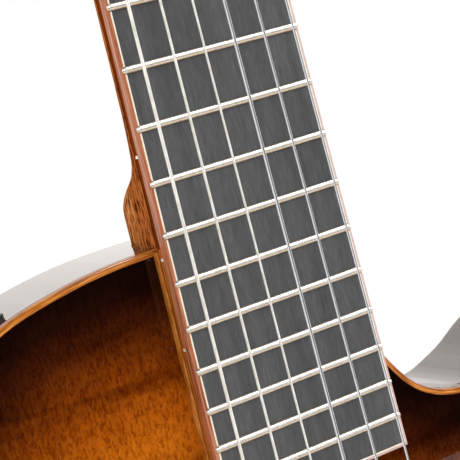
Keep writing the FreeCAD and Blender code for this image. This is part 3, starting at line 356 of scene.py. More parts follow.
def neck_paint():
    """Open-pored mahogany: streaked orange-brown, with short dark pores and painted shade in the groove
    at the board.
    """
    paint = Paint("neck_mahogany", rough=0.55, specular=0.0)
    tone = paint.noise(paint.coords((110, 110, 14)), 1.0, 4.0, 0.6, 0.4)
    base = paint.ramp(tone, [
        (0.30, (0.40, 0.105, 0.022)),
        (0.50, (0.66, 0.200, 0.048)),
        (0.72, (0.86, 0.350, 0.110)),
    ])
    stripe = paint.noise(paint.coords((620, 620, 26)), 1.0, 3.0, 0.6, 0.3)
    lines = paint.ramp(stripe, [(0.36, (0.26, 0.18, 0.12)), (0.58, WHITE)])
    base = paint.darken(0.8, base, lines)
    pores = paint.noise(paint.coords((1300, 1300, 260)), 1.0, 2.0, 0.6, 0.3)
    marks = paint.ramp(pores, [(0.40, (0.10, 0.05, 0.03)), (0.50, WHITE)])
    base = paint.darken(0.9, base, marks)
    # Painted shade: close under the board the neck turns nearly black for the groove's shadow, but not
    # over the body.
    depth = paint.math("MULTIPLY", paint.axis("Y"), 1.0 / GROOVE_SHADE_REACH, clamp=True)
    depth = paint.math("MAXIMUM", depth, paint.over_body())
    groove_shade = paint.ramp(depth, [(0.80, (0.05, 0.03, 0.02)), (1.0, WHITE)])
    paint.colour(paint.darken(1.0, base, groove_shade))
    paint.rough(pores, 0.65, 0.45)
    paint.bump(pores, 0.00025, 0.6)
    return paint.material


def board_paint():
    """Dark grey ebony with short fine grain and a few faint warm patches."""
    paint = Paint("board_ebony", rough=0.5, specular=0.35)
    grain = paint.noise(paint.coords((1300, 1300, 170)), 1.0, 4.0, 0.7, 0.3)
    base = paint.ramp(grain, [
        (0.28, (0.058, 0.058, 0.061)),
        (0.50, (0.080, 0.081, 0.084)),
        (0.75, (0.108, 0.109, 0.113)),
    ])
    broad = paint.noise(paint.coords((150, 150, 14)), 1.0, 3.0, 0.6, 0.2)
    shade = paint.ramp(broad, [(0.36, (0.66, 0.66, 0.66)), (0.62, WHITE)])
    base = paint.darken(0.8, base, shade)
    cloud = paint.noise(paint.coords((90, 90, 30)), 1.0, 3.0, 0.6, 0.6)
    patch = paint.ramp(cloud, [(0.60, BLACK), (0.78, (0.5, 0.5, 0.5))])
    paint.colour(paint.blend(patch, base, (0.105, 0.075, 0.066)))
    paint.rough(grain, 0.44, 0.6)
    paint.bump(grain, 0.00012, 0.5)
    return paint.material


def fret_paint():
    """Nickel silver, coloured by the way its surface faces as painted reflection: a painted white
    highlight on the crown, painted tan reflection down the sides.
    """
    paint = Paint("fret_silver_painted_reflection", rough=0.3, metal=0.35)
    # Painted reflection: the colour follows which way the surface faces, with a white highlight towards
    # the nut, a thin dark line, tan reflection towards the bridge, and darker at both extremes.
    turn = paint.math("MULTIPLY", paint.math("ADD", paint.facing("Z"), 1.0), 0.5)
    tone = paint.ramp(turn, [
        (0.05, (0.16, 0.09, 0.05)),
        (0.18, (0.62, 0.50, 0.36)),
        (0.36, (0.78, 0.68, 0.54)),
        (0.45, (0.40, 0.29, 0.19)),
        (0.54, (0.92, 0.91, 0.88)),
        (0.74, (0.94, 0.93, 0.90)),
        (0.84, (0.34, 0.29, 0.24)),
    ])
    cloud = paint.noise(paint.coords((700, 700, 700)), 1.0, 3.0, 0.6)
    wear = paint.ramp(cloud, [(0.3, (0.88, 0.87, 0.86)), (0.6, WHITE)])
    paint.colour(paint.darken(1.0, tone, wear))
    paint.rough(cloud, 0.22, 0.38)
    return paint.material


def board_binding_paint():
    """Wood edge with painted light: a pale reddish painted highlight and gloss near the face, and
    orange-brown painted shade, dull, further down.
    """
    paint = Paint("board_edge_wood_painted_light", rough=0.4, coat_rough=0.12, specular=0.0)
    grain = paint.noise(paint.coords((1300, 1300, 40)), 1.0, 4.0, 0.75, 0.2)
    # Painted highlight: near the board's face the edge wood is pale reddish, as if it reflected a bright
    # light.
    high_part_painted_highlight = paint.ramp(grain, [
        (0.34, (0.20, 0.045, 0.016)),
        (0.48, (0.42, 0.135, 0.062)),
        (0.62, (0.62, 0.270, 0.150)),
    ])
    # Painted shade: further down the edge the wood is dark orange-brown; over the body a lit copy,
    # brighter, takes its place.
    low_part_painted_light = paint.ramp(grain, [(0.36, (0.075, 0.010, 0.001)), (0.62, (0.24, 0.045, 0.004))])
    lit = paint.ramp(grain, [(0.36, (0.20, 0.045, 0.004)), (0.62, (0.60, 0.190, 0.030))])
    low_part_painted_light = paint.blend(paint.over_body(), low_part_painted_light, lit)
    depth = paint.math("MULTIPLY", paint.axis("Y"), 1.0 / BOARD_THICKNESS, clamp=True)
    # Painted highlight: on the treble side the edge near the face turns paler pink.
    treble = paint.math("MULTIPLY", paint.axis("X"), 1.0 / TREBLE_HIGHLIGHT_REACH, clamp=True)
    high_part_painted_highlight = paint.blend(paint.mask(treble, 0.2, 0.8), high_part_painted_highlight, (0.62, 0.43, 0.40))
    base = paint.blend(paint.mask(depth, 0.50, 0.60), high_part_painted_highlight, low_part_painted_light)
    # The foot of the edge turns nearly black: a dark joint line with painted shadow from the groove below
    # it.
    foot = paint.ramp(depth, [(0.84, WHITE), (0.92, (0.04, 0.03, 0.02))])
    paint.colour(paint.darken(1.0, base, foot))
    paint.coat(paint.ramp(depth, [(0.45, (0.7, 0.7, 0.7)), (0.58, BLACK)]))
    paint.bump(grain, 0.00008, 0.4)
    return paint.material


def body_binding_paint():
    """Laminated wood binding, by how far round its section and along the edge a point is, with painted
    shade down its side.
    """
    paint = Paint("body_edge_wood_side_shade", rough=0.4, coat=0.3, coat_rough=0.05, specular=0.0)
    across = paint.layer("across")
    along = paint.layer("along")
    place = paint.node("ShaderNodeCombineXYZ")
    paint.link(paint.math("MULTIPLY", across, 14.0), place.inputs["X"])
    paint.link(paint.math("MULTIPLY", along, 90.0), place.inputs["Y"])
    grain = paint.noise(place.outputs["Vector"], 1.0, 4.0, 0.7, 0.3)
    face = paint.ramp(grain, [
        (0.34, (0.22, 0.050, 0.005)),
        (0.50, (0.52, 0.165, 0.024)),
        (0.68, (0.78, 0.330, 0.080)),
    ])
    # Dark lines at the inner edge and on the rounded corner; past the corner the side is darkened as
    # painted shade where it meets the rim.
    layers = paint.ramp(across, [
        (0.00, (0.10, 0.06, 0.04)),
        (0.03, WHITE),
        (0.13, WHITE),
        (0.155, (0.30, 0.20, 0.15)),
        (0.18, WHITE),
        (0.27, (0.95, 0.90, 0.85)),
        (0.36, (0.26, 0.15, 0.12)),
        (0.90, (0.20, 0.10, 0.08)),
    ])
    paint.colour(paint.darken(1.0, face, layers))
    paint.coat(paint.ramp(across, [(0.08, (0.3, 0.3, 0.3)), (0.14, WHITE)]))
    paint.bump(grain, 0.00004, 0.3)
    return paint.material


def gloss_wood_paint(name, dark, light, coat=1.0, specular=0.5):
    """Stained wood under clear gloss lacquer."""
    paint = Paint(name, rough=0.3, coat=coat, coat_rough=0.015, specular=specular)
    paint.set("Coat IOR", 1.65)
    grain = paint.noise(paint.coords((160, 160, 12)), 1.0, 5.0, 0.6, 0.5)
    fine = paint.noise(paint.coords((1280, 1280, 96)), 1.0, 2.0, 0.5)
    base = paint.ramp(grain, [(0.3, dark), (0.72, light)])
    marks = paint.ramp(fine, [(0.36, (0.5, 0.5, 0.5)), (0.5, WHITE)])
    paint.colour(paint.darken(0.6, base, marks))
    return paint.material


def burst_paint():
    """The top's sunburst: amber brown inside, nearly black at the edge, over straight grain."""
    paint = Paint("sunburst_top", rough=0.5, coat=1.0, coat_rough=0.015, specular=0.0)
    cloud = paint.noise(paint.coords((32, 32, 32)), 1.0, 3.0, 0.55)
    wander = paint.math("MULTIPLY", paint.math("SUBTRACT", cloud, 0.5), 0.14)
    place = paint.math("ADD", paint.layer("edge"), wander)
    base = paint.ramp(place, [
        (0.0, (0.0085, 0.0018, 0.0009)),
        (0.15, (0.0180, 0.0034, 0.0010)),
        (0.32, (0.066, 0.0120, 0.0016)),
        (0.54, (0.220, 0.0440, 0.0026)),
        (0.78, (0.420, 0.0960, 0.0045)),
        (1.0, (0.570, 0.1500, 0.0070)),
    ])
    grain = paint.noise(paint.coords((1250, 1250, 520)), 1.0, 2.0, 0.7, 0.2)
    lines = paint.ramp(grain, [
        (0.36, (0.52, 0.40, 0.34)),
        (0.50, (0.84, 0.80, 0.76)),
        (0.62, WHITE),
    ])
    base = paint.darken(1.0, base, lines)
    streak = paint.noise(paint.coords((420, 420, 14)), 1.0, 2.0, 0.5, 0.1)
    faint = paint.ramp(streak, [(0.38, (0.80, 0.76, 0.72)), (0.58, WHITE)])
    base = paint.darken(0.7, base, faint)
    figure = paint.noise(paint.coords((13, 13, 62)), 1.0, 3.0, 0.55, 0.7)
    bands = paint.ramp(figure, [
        (0.38, (0.46, 0.37, 0.32)),
        (0.50, (0.90, 0.88, 0.86)),
        (0.60, WHITE),
    ])
    paint.colour(paint.darken(0.9, base, bands))
    return paint.material


def plain_wood_paint(name, dark, light, rough, coat=0.0):
    """Oiled or bare wood, straight grained."""
    paint = Paint(name, rough=rough, coat=coat, coat_rough=0.1)
    grain = paint.noise(paint.coords((700, 700, 22)), 1.0, 4.0, 0.6, 0.2)
    paint.colour(paint.ramp(grain, [(0.3, dark), (0.7, light)]))
    paint.rough(grain, rough, rough + 0.12)
    paint.bump(grain, 0.0001, 0.5)
    return paint.material


def bridge_paint():
    """Rosewood with the grain running along the bridge."""
    paint = Paint("bridge_rosewood", rough=0.42, coat=0.15, coat_rough=0.2)
    grain = paint.noise(paint.coords((18, 600, 600)), 1.0, 4.0, 0.6, 0.3)
    paint.colour(paint.ramp(grain, [
        (0.30, (0.028, 0.012, 0.008)),
        (0.55, (0.070, 0.028, 0.016)),
        (0.75, (0.120, 0.055, 0.030)),
    ]))
    paint.rough(grain, 0.36, 0.5)
    paint.bump(grain, 0.0001, 0.5)
    return paint.material


def shaded(colour, share):
    return tuple(value * share for value in colour)


def metal_paint(name, colour, rough):
    """Polished or satin metal with faint smears."""
    paint = Paint(name, rough=rough, metal=1.0)
    smear = paint.noise(paint.coords((300, 300, 300)), 1.0, 4.0, 0.6, 0.4)
    paint.colour(paint.ramp(smear, [(0.3, shaded(colour, DULL)), (0.65, colour)]))
    paint.rough(smear, rough, rough + 0.12)
    return paint.material


def bone_paint(name, light):
    """Bone or cream wood with faint veins along the neck."""
    paint = Paint(name, rough=0.3, coat=0.3, coat_rough=0.1)
    paint.set("Subsurface Weight", 0.08)
    vein = paint.noise(paint.coords((300, 300, 900)), 1.0, 4.0, 0.6, 0.5)
    paint.colour(paint.ramp(vein, [(0.35, shaded(light, VEIN)), (0.65, light)]))
    paint.rough(vein, 0.24, 0.36)
    return paint.material


def plastic_paint(name, dark, light, rough, coat=0.0):
    """Moulded plastic with a fine, slightly uneven skin."""
    paint = Paint(name, rough=rough, coat=coat, coat_rough=0.08)
    skin = paint.noise(paint.coords(WHOLE), 900.0, 3.0, 0.6)
    paint.colour(paint.ramp(skin, [(0.3, dark), (0.7, light)]))
    paint.rough(skin, rough, rough + 0.1)
    paint.bump(skin, 0.00004, 0.4)
    return paint.material


def part_metal(paint, far, shell, metal):
    """Finishes a paint as metal where far is 1, and with the shell's colour where far is 0."""
    smear = paint.noise(paint.coords((300, 300, 300)), 1.0, 3.0, 0.6, 0.3)
    plated = paint.ramp(smear, [(0.3, shaded(metal, DULL)), (0.65, metal)])
    paint.colour(paint.blend(far, shell, plated))
    paint.link(far, paint.shader.inputs["Metallic"])
    return paint.material


def key_paint():
    """A swirled pearl button on a brass shaft: shaft below the button's foot, pearl above it."""
    paint = Paint("tuner_key", rough=0.2, coat=0.3, coat_rough=0.05)
    swirl = paint.noise(paint.coords((120, 120, 120)), 1.0, 4.0, 0.6, 2.2)
    pearl = paint.ramp(swirl, [
        (0.3, (0.62, 0.57, 0.46)),
        (0.5, (0.86, 0.82, 0.72)),
        (0.7, (0.95, 0.93, 0.88)),
    ])
    place = Vector(joints["key_1_turn"]["pos_m"])
    along = Vector(joints["key_1_turn"]["axis"])
    depth = paint.math("MULTIPLY", paint.axis("Y"), along.y)
    depth = paint.math("ADD", depth, paint.math("MULTIPLY", paint.axis("Z"), along.z))
    foot = place.dot(along) + BUTTON_FOOT
    far = paint.math("LESS_THAN", depth, foot)
    return part_metal(paint, far, pearl, BRASS)


def roller_paint():
    """A white barrel with a brass gear and screw outside the headstock's plate."""
    paint = Paint("string_roller", rough=0.24)
    skin = paint.noise(paint.coords(WHOLE), 700.0, 3.0, 0.6)
    shell = paint.ramp(skin, [(0.3, (0.74, 0.71, 0.63)), (0.7, (0.86, 0.84, 0.77))])
    across = paint.math("ABSOLUTE", paint.axis("X"))
    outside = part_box("tuner_plate_treble")[0].x
    far = paint.math("GREATER_THAN", across, outside)
    return part_metal(paint, far, shell, BRASS)


def felt_paint():
    """Black felt with a soft sheen."""
    paint = Paint("felt", rough=0.95)
    paint.set("Sheen Weight", 0.4)
    fuzz = paint.noise(paint.coords(WHOLE), 2500.0, 3.0, 0.7)
    paint.colour(paint.ramp(fuzz, [(0.3, (0.012, 0.012, 0.012)), (0.7, (0.05, 0.05, 0.05))]))
    paint.bump(fuzz, 0.0003, 0.8)
    return paint.material


def wound_paint():
    """Silver-plated winding, bright and slightly creamy."""
    paint = Paint("wound_string", rough=0.42, metal=0.55)
    wear = paint.noise(paint.coords((500, 500, 300)), 1.0, 3.0, 0.6)
    paint.colour(paint.ramp(wear, [(0.3, (0.80, 0.76, 0.66)), (0.6, (0.96, 0.94, 0.88))]))
    paint.rough(wear, 0.34, 0.48)
    return paint.material


def nylon_paint():
    """Smoke-grey nylon with a wet shine, paler down both sides as if light came through."""
    paint = Paint("nylon_string", rough=0.2, coat=1.0, coat_rough=0.16, ior=1.9, specular=0.8)
    cloud = paint.noise(paint.coords((400, 400, 30)), 1.0, 2.0, 0.5)
    heart = paint.ramp(cloud, [(0.3, (0.125, 0.126, 0.130)), (0.7, (0.17, 0.17, 0.175))])
    side = paint.mask(paint.math("ABSOLUTE", paint.facing("X")), 0.38, 0.58)
    paint.colour(paint.blend(side, heart, (0.86, 0.87, 0.90)))
    paint.rough(cloud, 0.16, 0.24)
    return paint.material


# ---------------------------------------------------------------- mesh helpers


def new_piece(name, vertices, faces, material, body, smooth=True):
    mesh = bpy.data.meshes.new(name)
    mesh.from_pydata([tuple(v) for v in vertices], [], faces)
    mesh.validate()
    if smooth:
        mesh.polygons.foreach_set("use_smooth", [True] * len(mesh.polygons))
    mesh.materials.append(material)
    piece = bpy.data.objects.new(name, mesh)
    bpy.context.collection.objects.link(piece)
    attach(piece, body)
    return piece


def add_layer(piece, name, values):
    """Gives each of the piece's points a value that its material reads by name."""
    layer = piece.data.attributes.new(name, "FLOAT", "POINT")
    layer.data.foreach_set("value", values)


def tube(points, radii, sides):
    """Vertices and faces of a closed tube through the points, with a radius at each."""
    vertices, faces = [], []
    side = TUBE_SIDE
    for index, point in enumerate(points):
        before = points[max(index - 1, 0)]
        after = points[min(index + 1, len(points) - 1)]
        ahead = (after - before).normalized()
        side = (side - ahead * side.dot(ahead)).normalized()
        other = ahead.cross(side)
        for step in range(sides):
            angle = 2 * math.pi * step / sides
            vertices.append(point + (side * math.cos(angle) + other * math.sin(angle)) * radii[index])
    for ring in range(len(points) - 1):
        low, high = ring * sides, (ring + 1) * sides
        for step in range(sides):
            near = (step + 1) % sides
            faces.append((low + step, low + near, high + near, high + step))
    faces.append(tuple(reversed(range(sides))))
    last = (len(points) - 1) * sides
    faces.append(tuple(range(last, last + sides)))
    return vertices, faces


def smooth_line(points, spacing):
    """Evenly spaced points on a smooth curve through the given ones."""
    curve = bpy.data.curves.new("line", "CURVE")
    curve.dimensions = "3D"
    spline = curve.splines.new("NURBS")
    spline.points.add(len(points) - 1)
    for target, point in zip(spline.points, points):
        target.co = (*point, 1.0)
    spline.order_u = 3
    spline.use_endpoint_u = True
    curve.resolution_u = 12
    holder = bpy.data.objects.new("line", curve)
    mesh = bpy.data.meshes.new_from_object(holder)
    line = [v.co.copy() for v in mesh.vertices]
    bpy.data.objects.remove(holder)
    bpy.data.curves.remove(curve)
    bpy.data.meshes.remove(mesh)
    return resample(line, spacing)


def resample(line, spacing):
    """Points at even spacing along a line of straight parts, with both its ends."""
    made = [line[0]]
    travelled = 0.0
    for first, second in zip(line, line[1:]):
        length = (second - first).length
        while travelled + length >= spacing:
            share = (spacing - travelled) / length
            first = first.lerp(second, share)
            length = (second - first).length
            travelled = 0.0
            made.append(first.copy())
        travelled += length
    if (made[-1] - line[-1]).length > spacing * 0.2:
        made.append(line[-1])
    return made


def string_centres(number):
    """The string's bends, read from its CAD tube: the middle of each ring of vertices."""
    vertices = sorted((v.co.copy() for v in nodes["string_%d" % number].data.vertices), key=lambda v: v.z)
    groups = [[vertices[0]]]
    for vertex in vertices[1:]:
        if vertex.z - groups[-1][-1].z > RING_GAP:
            groups.append([])
        groups[-1].append(vertex)
    centres = []
    for group in groups:
        low = Vector(min(v[axis] for v in group) for axis in range(3))
        high = Vector(max(v[axis] for v in group) for axis in range(3))
        centres.append((low + high) / 2)
    return centres


def string_radius(number):
    """Half the string's thickness, from its CAD tube where it passes the nut."""
    across = [v.co for v in nodes["string_%d" % number].data.vertices if abs(v.co.z) < NUT_REACH]
    return (max(v.x for v in across) - min(v.x for v in across)) / 2


# ---------------------------------------------------------------- pieces


def plate_outline(name):
    """The edge of the plate's front face, as (x, z) points in order, and that face's own y."""
    source = nodes[name].data
    front = min(v.co.y for v in source.vertices)
    place, flat, merged = {}, [], {}
    for index, vertex in enumerate(source.vertices):
        if abs(vertex.co.y - front) < SAME_PLACE:
            key = (round(vertex.co.x, 6), round(vertex.co.z, 6))
            if key not in merged:
                merged[key] = len(flat)
                flat.append(Vector((vertex.co.x, vertex.co.z)))
            place[index] = merged[key]
    count = {}
    for polygon in source.polygons:
        if all(index in place for index in polygon.vertices):
            loop = [place[index] for index in polygon.vertices]
            for first, second in zip(loop, loop[1:] + loop[:1]):
                key = (min(first, second), max(first, second))
                count[key] = count.get(key, 0) + 1
    linked = {}
    for (first, second), uses in count.items():
        if uses == 1:
            linked.setdefault(first, []).append(second)
            linked.setdefault(second, []).append(first)
    start = next(iter(linked))
    loop = [start]
    previous, here = None, start
    while True:
        ahead = [other for other in linked[here] if other != previous][0]
        if ahead == start:
            break
        loop.append(ahead)
        previous, here = here, ahead
    return [flat[index] for index in loop], front


def in_neck_slot(point):
    """Whether a point of the plate's outline belongs to the slot cut for the neck."""
    return abs(point.x) < NECK_SLOT_HALF and point.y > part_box("truss_rod")[0].z - NECK_SLOT_PAST_ROD


def divided(outline, step):
    """The closed outline with more points on it, no further apart than step."""
    dense = []
    for first, second in zip(outline, outline[1:] + outline[:1]):
        parts = max(1, math.ceil((second - first).length / step))
        dense += [first.lerp(second, part / parts) for part in range(parts)]
    return dense


def make_top(material):
    """The top plate, remade with points all over it, each with its distance from the edge."""
    outline, front = plate_outline("top_plate")
    low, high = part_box("top_plate")
    dense = divided(outline, TOP_EDGE_STEP)
    tree = kdtree.KDTree(len(dense))
    for index, point in enumerate(dense):
        if not in_neck_slot(point):
            tree.insert((point.x, point.y, 0), index)
    tree.balance()
    points = list(outline)
    for row in range(int((high.z - low.z) / TOP_SPACING)):
        for column in range(int((high.x - low.x) / TOP_SPACING)):
            x = low.x + TOP_SPACING * (column + 0.5)
            z = low.z + TOP_SPACING * (row + 0.5)
            if tree.find((x, z, 0))[2] > TOP_SPACING * TOP_CLEAR:
                points.append(Vector((x, z)))
    count = len(outline)
    edges = [(index, (index + 1) % count) for index in range(count)]
    made, _, faces, _, _, _ = geometry.delaunay_2d_cdt(points, edges, [list(range(count))], 1, 1e-7)
    used = sorted({index for face in faces for index in face})
    remap = {old: new for new, old in enumerate(used)}
    front_points = [Vector((made[index].x, front, made[index].y)) for index in used]
    back_points = [Vector((point.x, high.y, point.z)) for point in front_points]
    total = len(front_points)
    skin, sides = [], set()
    for face in faces:
        loop = [remap[index] for index in face]
        a, b, c = (front_points[index] for index in loop[:3])
        if (b - a).cross(c - a).y > 0:
            loop.reverse()
        skin.append(tuple(loop))
        skin.append(tuple(index + total for index in reversed(loop)))
        for first, second in zip(loop, loop[1:] + loop[:1]):
            if (second, first) in sides:
                sides.remove((second, first))
            else:
                sides.add((first, second))
    for first, second in sorted(sides):
        skin.append((second, first, first + total, second + total))
    points = front_points + back_points
    piece = new_piece("top_skin", points, skin, material, "instrument", smooth=False)
    away = [tree.find((vertex.co.x, vertex.co.z, 0))[2] for vertex in piece.data.vertices]
    add_layer(piece, "edge", [min(1.0, distance / BURST_REACH) for distance in away])
    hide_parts("top_plate")


def binding_profile():
    """The binding's section as (outward, depth behind the face), round from its inner front edge."""
    low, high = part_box("top_binding")
    width = high.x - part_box("top_plate")[1].x
    height = high.y - low.y
    arc = []
    for step in range(BINDING_ARC_STEPS + 1):
        angle = math.radians(90 - 90 * step / BINDING_ARC_STEPS)
        outward = width - BINDING_ROUND * (1 - math.cos(angle))
        arc.append((outward, BINDING_ROUND * (1 - math.sin(angle))))
    front = [(0.0, 0.0), (BINDING_FLAT, 0.0)]
    return front + arc + [(width, height * BINDING_MID), (width, height), (0.0, height)]


def make_binding(material):
    """The top's binding, swept along the plate's edge so that its layers follow the outline."""
    outline, front = plate_outline("top_plate")
    dense = divided(outline, BINDING_STEP)
    begin = next(i for i, p in enumerate(dense) if in_neck_slot(dense[i - 1]) and not in_neck_slot(p))
    path = [p for p in dense[begin:] + dense[:begin] if not in_neck_slot(p)]
    doubled = sum(a.x * b.y - b.x * a.y for a, b in zip(path, path[1:] + path[:1]))
    if doubled < 0:
        path.reverse()
    profile = binding_profile()
    rounds = [0.0]
    for first, second in zip(profile, profile[1:]):
        rounds.append(rounds[-1] + math.hypot(second[0] - first[0], second[1] - first[1]))
    vertices, faces, across, along = [], [], [], []
    travelled = 0.0
    for index, point in enumerate(path):
        before = path[max(index - 1, 0)]
        after = path[min(index + 1, len(path) - 1)]
        into = (point - before).normalized() if index else (after - point).normalized()
        out = (after - point).normalized() if index < len(path) - 1 else into
        mean = (into + out).normalized()
        normal = Vector((mean.y, -mean.x))
        stretch = 1.0 / max(MITRE_LIMIT, mean.dot(into))
        travelled += (point - before).length
        for (outward, depth), reach in zip(profile, rounds):
            place = point + normal * outward * stretch
            vertices.append(Vector((place.x, front + depth, place.y)))
            across.append(reach / rounds[-1])
            along.append(travelled)
    width = len(profile)
    for ring in range(len(path) - 1):
        low, high = ring * width, (ring + 1) * width
        for step in range(width):
            near = (step + 1) % width
            faces.append((low + step, low + near, high + near, high + step))
    faces.append(tuple(reversed(range(width))))
    faces.append(tuple(range((len(path) - 1) * width, len(path) * width)))
    piece = new_piece("binding_ribbon", vertices, faces, material, "instrument")
    add_layer(piece, "across", across)
    add_layer(piece, "along", along)
    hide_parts("top_binding")


def make_neck_border(material):
    """The lit strip of neck wood between the fingerboard's foot and the top, on each side."""
    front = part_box("top_plate")[0].y
    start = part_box("body_core")[1].z - BORDER_GAP
    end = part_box("fingerboard_binding")[0].z
    half_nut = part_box("nut")[1].x
    half_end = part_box("fingerboard_binding")[1].x
    # Share of the width inward, share of the rise, and which of the binding's layers it is painted as
    profile = [
        (0.0, 0.0, 0.155),
        (0.0, 0.12, 0.19),
        (0.0, 0.93, 0.25),
        (0.15, 1.0, 0.26),
        (1.0, 1.0, 0.27),
        (1.0, 0.0, 0.27),
    ]
    vertices, faces, across, along = [], [], [], []
    for side in (-1, 1):
        base = len(vertices)
        for ring in range(BORDER_RINGS + 1):
            z = start + (end - start) * ring / BORDER_RINGS
            edge = half_nut + (half_end - half_nut) * z / end
            for share, rise, layer_place in profile:
                x = edge + BORDER_PROUD - BORDER_WIDTH * share
                vertices.append(Vector((side * x, front - BORDER_RISE * rise, z)))
                across.append(layer_place)
                along.append(start - z)
        width = len(profile)
        for ring in range(BORDER_RINGS):
            low, high = base + ring * width, base + (ring + 1) * width
            for step in range(width):
                after = (step + 1) % width
                loop = (low + step, high + step, high + after, low + after)
                faces.append(loop if side < 0 else tuple(reversed(loop)))
        first = tuple(range(base, base + width))
        last = tuple(range(base + BORDER_RINGS * width, base + (BORDER_RINGS + 1) * width))
        faces.append(first if side < 0 else tuple(reversed(first)))
        faces.append(tuple(reversed(last)) if side < 0 else last)
    piece = new_piece("neck_border", vertices, faces, material, "instrument", smooth=False)
    add_layer(piece, "across", across)
    add_layer(piece, "along", along)


def make_wound_string(number, material):
    """A bass string's winding: a fine helical ridge all along the CAD string's own line."""
    rings, sides = 3, 9
    line = resample(string_centres(number), WINDING_PITCH / rings)
    radius = string_radius(number)
    vertices, faces = tube(line, [radius] * len(line), sides)
    for ring, centre in enumerate(line):
        for step in range(sides):
            phase = 2 * math.pi * (ring / rings - step / sides)
            index = ring * sides + step
            depth = 0.5 * (1 - math.cos(phase)) * WINDING_DEPTH
            vertices[index] = centre + (vertices[index] - centre) * (1 - depth)
    piece = new_piece("winding_%d" % number, vertices, faces, material, "instrument")
    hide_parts("string_%d" % number)


def make_nylon_string(number, material):
    """A treble string, round and smooth along the CAD string's own line."""
    line = resample(string_centres(number), NYLON_STEP)
    vertices, faces = tube(line, [string_radius(number)] * len(line), NYLON_SIDES)
    piece = new_piece("nylon_%d" % number, vertices, faces, material, "instrument")
    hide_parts("string_%d" % number)


def make_roller_winding(number, material):
    """The string's turns round its roller, side by side from where it meets the barrel."""
    end = string_centres(number)[-1]
    joint = Vector(joints["roller_%d_turn" % number]["pos_m"])
    radius = string_radius(number)
    reach = BARREL_RADIUS + radius * ROLLER_SINK
    inward = -1 if end.x > 0 else 1
    arm = Vector((0, end.y - joint.y, end.z - joint.z))
    start = math.atan2(arm.z, arm.y)
    line = []
    for step in range(int(ROLLER_TURNS * ROLLER_STEPS) + 1):
        turn = 2 * math.pi * step / ROLLER_STEPS
        angle = start + turn
        x = end.x + inward * ROLLER_SPREAD * radius * turn / (2 * math.pi)
        line.append(Vector((x, joint.y + reach * math.cos(angle), joint.z + reach * math.sin(angle))))
    vertices, faces = tube(line, [radius * ROLLER_THIN] * len(line), CORD_SIDES)
    new_piece("roller_winding_%d" % number, vertices, faces, material, "roller_%d" % number)


def make_worm_thread(number, material):
    """The worm's thread, a ridge that winds round the key's shaft under its gear."""
    joint = joints["key_%d_turn" % number]
    along = Vector(joint["axis"])
    side = Vector((1, 0, 0))
    other = along.cross(side)
    line = []
    for step in range(int((WORM_TO - WORM_FROM) / WORM_PITCH * THREAD_STEPS) + 1):
        angle = 2 * math.pi * step / THREAD_STEPS
        centre = Vector(joint["pos_m"]) + along * (WORM_FROM + WORM_PITCH * step / THREAD_STEPS)
        line.append(centre + (side * math.cos(angle) + other * math.sin(angle)) * WORM_RADIUS)
    radii = [THREAD_RADIUS] * len(line)
    radii[0] = radii[-1] = THREAD_RADIUS * THREAD_TIP
    vertices, faces = tube(line, radii, THREAD_SIDES)
    new_piece("worm_thread_%d" % number, vertices, faces, material, "key_%d" % number)


def make_tie_knot(number, material):
    """The string's end, looped up over the tie block, under itself and out to the side."""
    start = string_centres(number)[0]
    radius = string_radius(number)
    block_low, block_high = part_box("tie_block_inlay")
    top = block_low.y - radius - 0.15 * MM
    back = block_low.z - radius - 0.2 * MM
    front = block_high.z + radius + 0.1 * MM
    middle = (back + front) / 2
    away = 1.5 * MM + radius
    route = [
        (start.x, start.y, start.z),
        (start.x, start.y, back),
        (start.x + 0.4 * away, (start.y + top) / 2, back - 0.3 * MM),
        (start.x + 0.7 * away, top, back + 1.0 * MM),
        (start.x + 0.8 * away, top - 0.1 * MM, middle),
        (start.x + 0.7 * away, top, front - 1.2 * MM),
        (start.x + 0.2 * away, top - 0.3 * MM, front + 0.5 * MM),
        (start.x - 0.9 * away, top - radius, front - 0.8 * MM),
        (start.x - 1.1 * away, top - 2.1 * radius, middle + 1.5 * MM),
        (start.x + 0.2 * away, top - 2.6 * radius, middle - 0.5 * MM),
        (start.x + 1.9 * away, top - 1.2 * radius, middle - 1.4 * MM),
        (start.x + 3.3 * away, top - 0.4 * radius, middle - 1.0 * MM),
    ]
    line = smooth_line([Vector(point) for point in route], KNOT_STEP)
    vertices, faces = tube(line, [radius * KNOT_THIN] * len(line), CORD_SIDES)
    new_piece("tie_knot_%d" % number, vertices, faces, material, "instrument")


def dress(name, material):
    """Gives a CAD node one material."""
    data = nodes[name].data
    data.materials.clear()
    data.materials.append(material)


# ---------------------------------------------------------------- build

make_camera()
make_world()
make_floor()

area_light("key", (-0.9, -0.9, 0.35), (0, 0, -0.4), (0.9, 0.9), 8.0)
area_light("front", (0.1, -1.6, -0.6), (0, 0, -0.45), (1.4, 1.2), 13.0, gloss=False)
area_light("over", (0.5, -0.65, 0.45), (0, 0, -0.4), (0.8, 0.5), 6.0)
area_light("left", (-1.3, -0.35, -0.5), (0, 0, -0.45), (0.9, 1.4), 3.6)
area_light("gleam", (0.5, -0.2, 0.45), (0.06, 0, -0.46), (0.7, 0.35), 18.0, diffuse=False)
area_light("right", (1.2, -0.45, -0.5), (0, 0, -0.45), (0.9, 1.4), 6.0)

scene = bpy.context.scene
scene.view_settings.view_transform = "Standard"
scene.view_settings.look = "None"

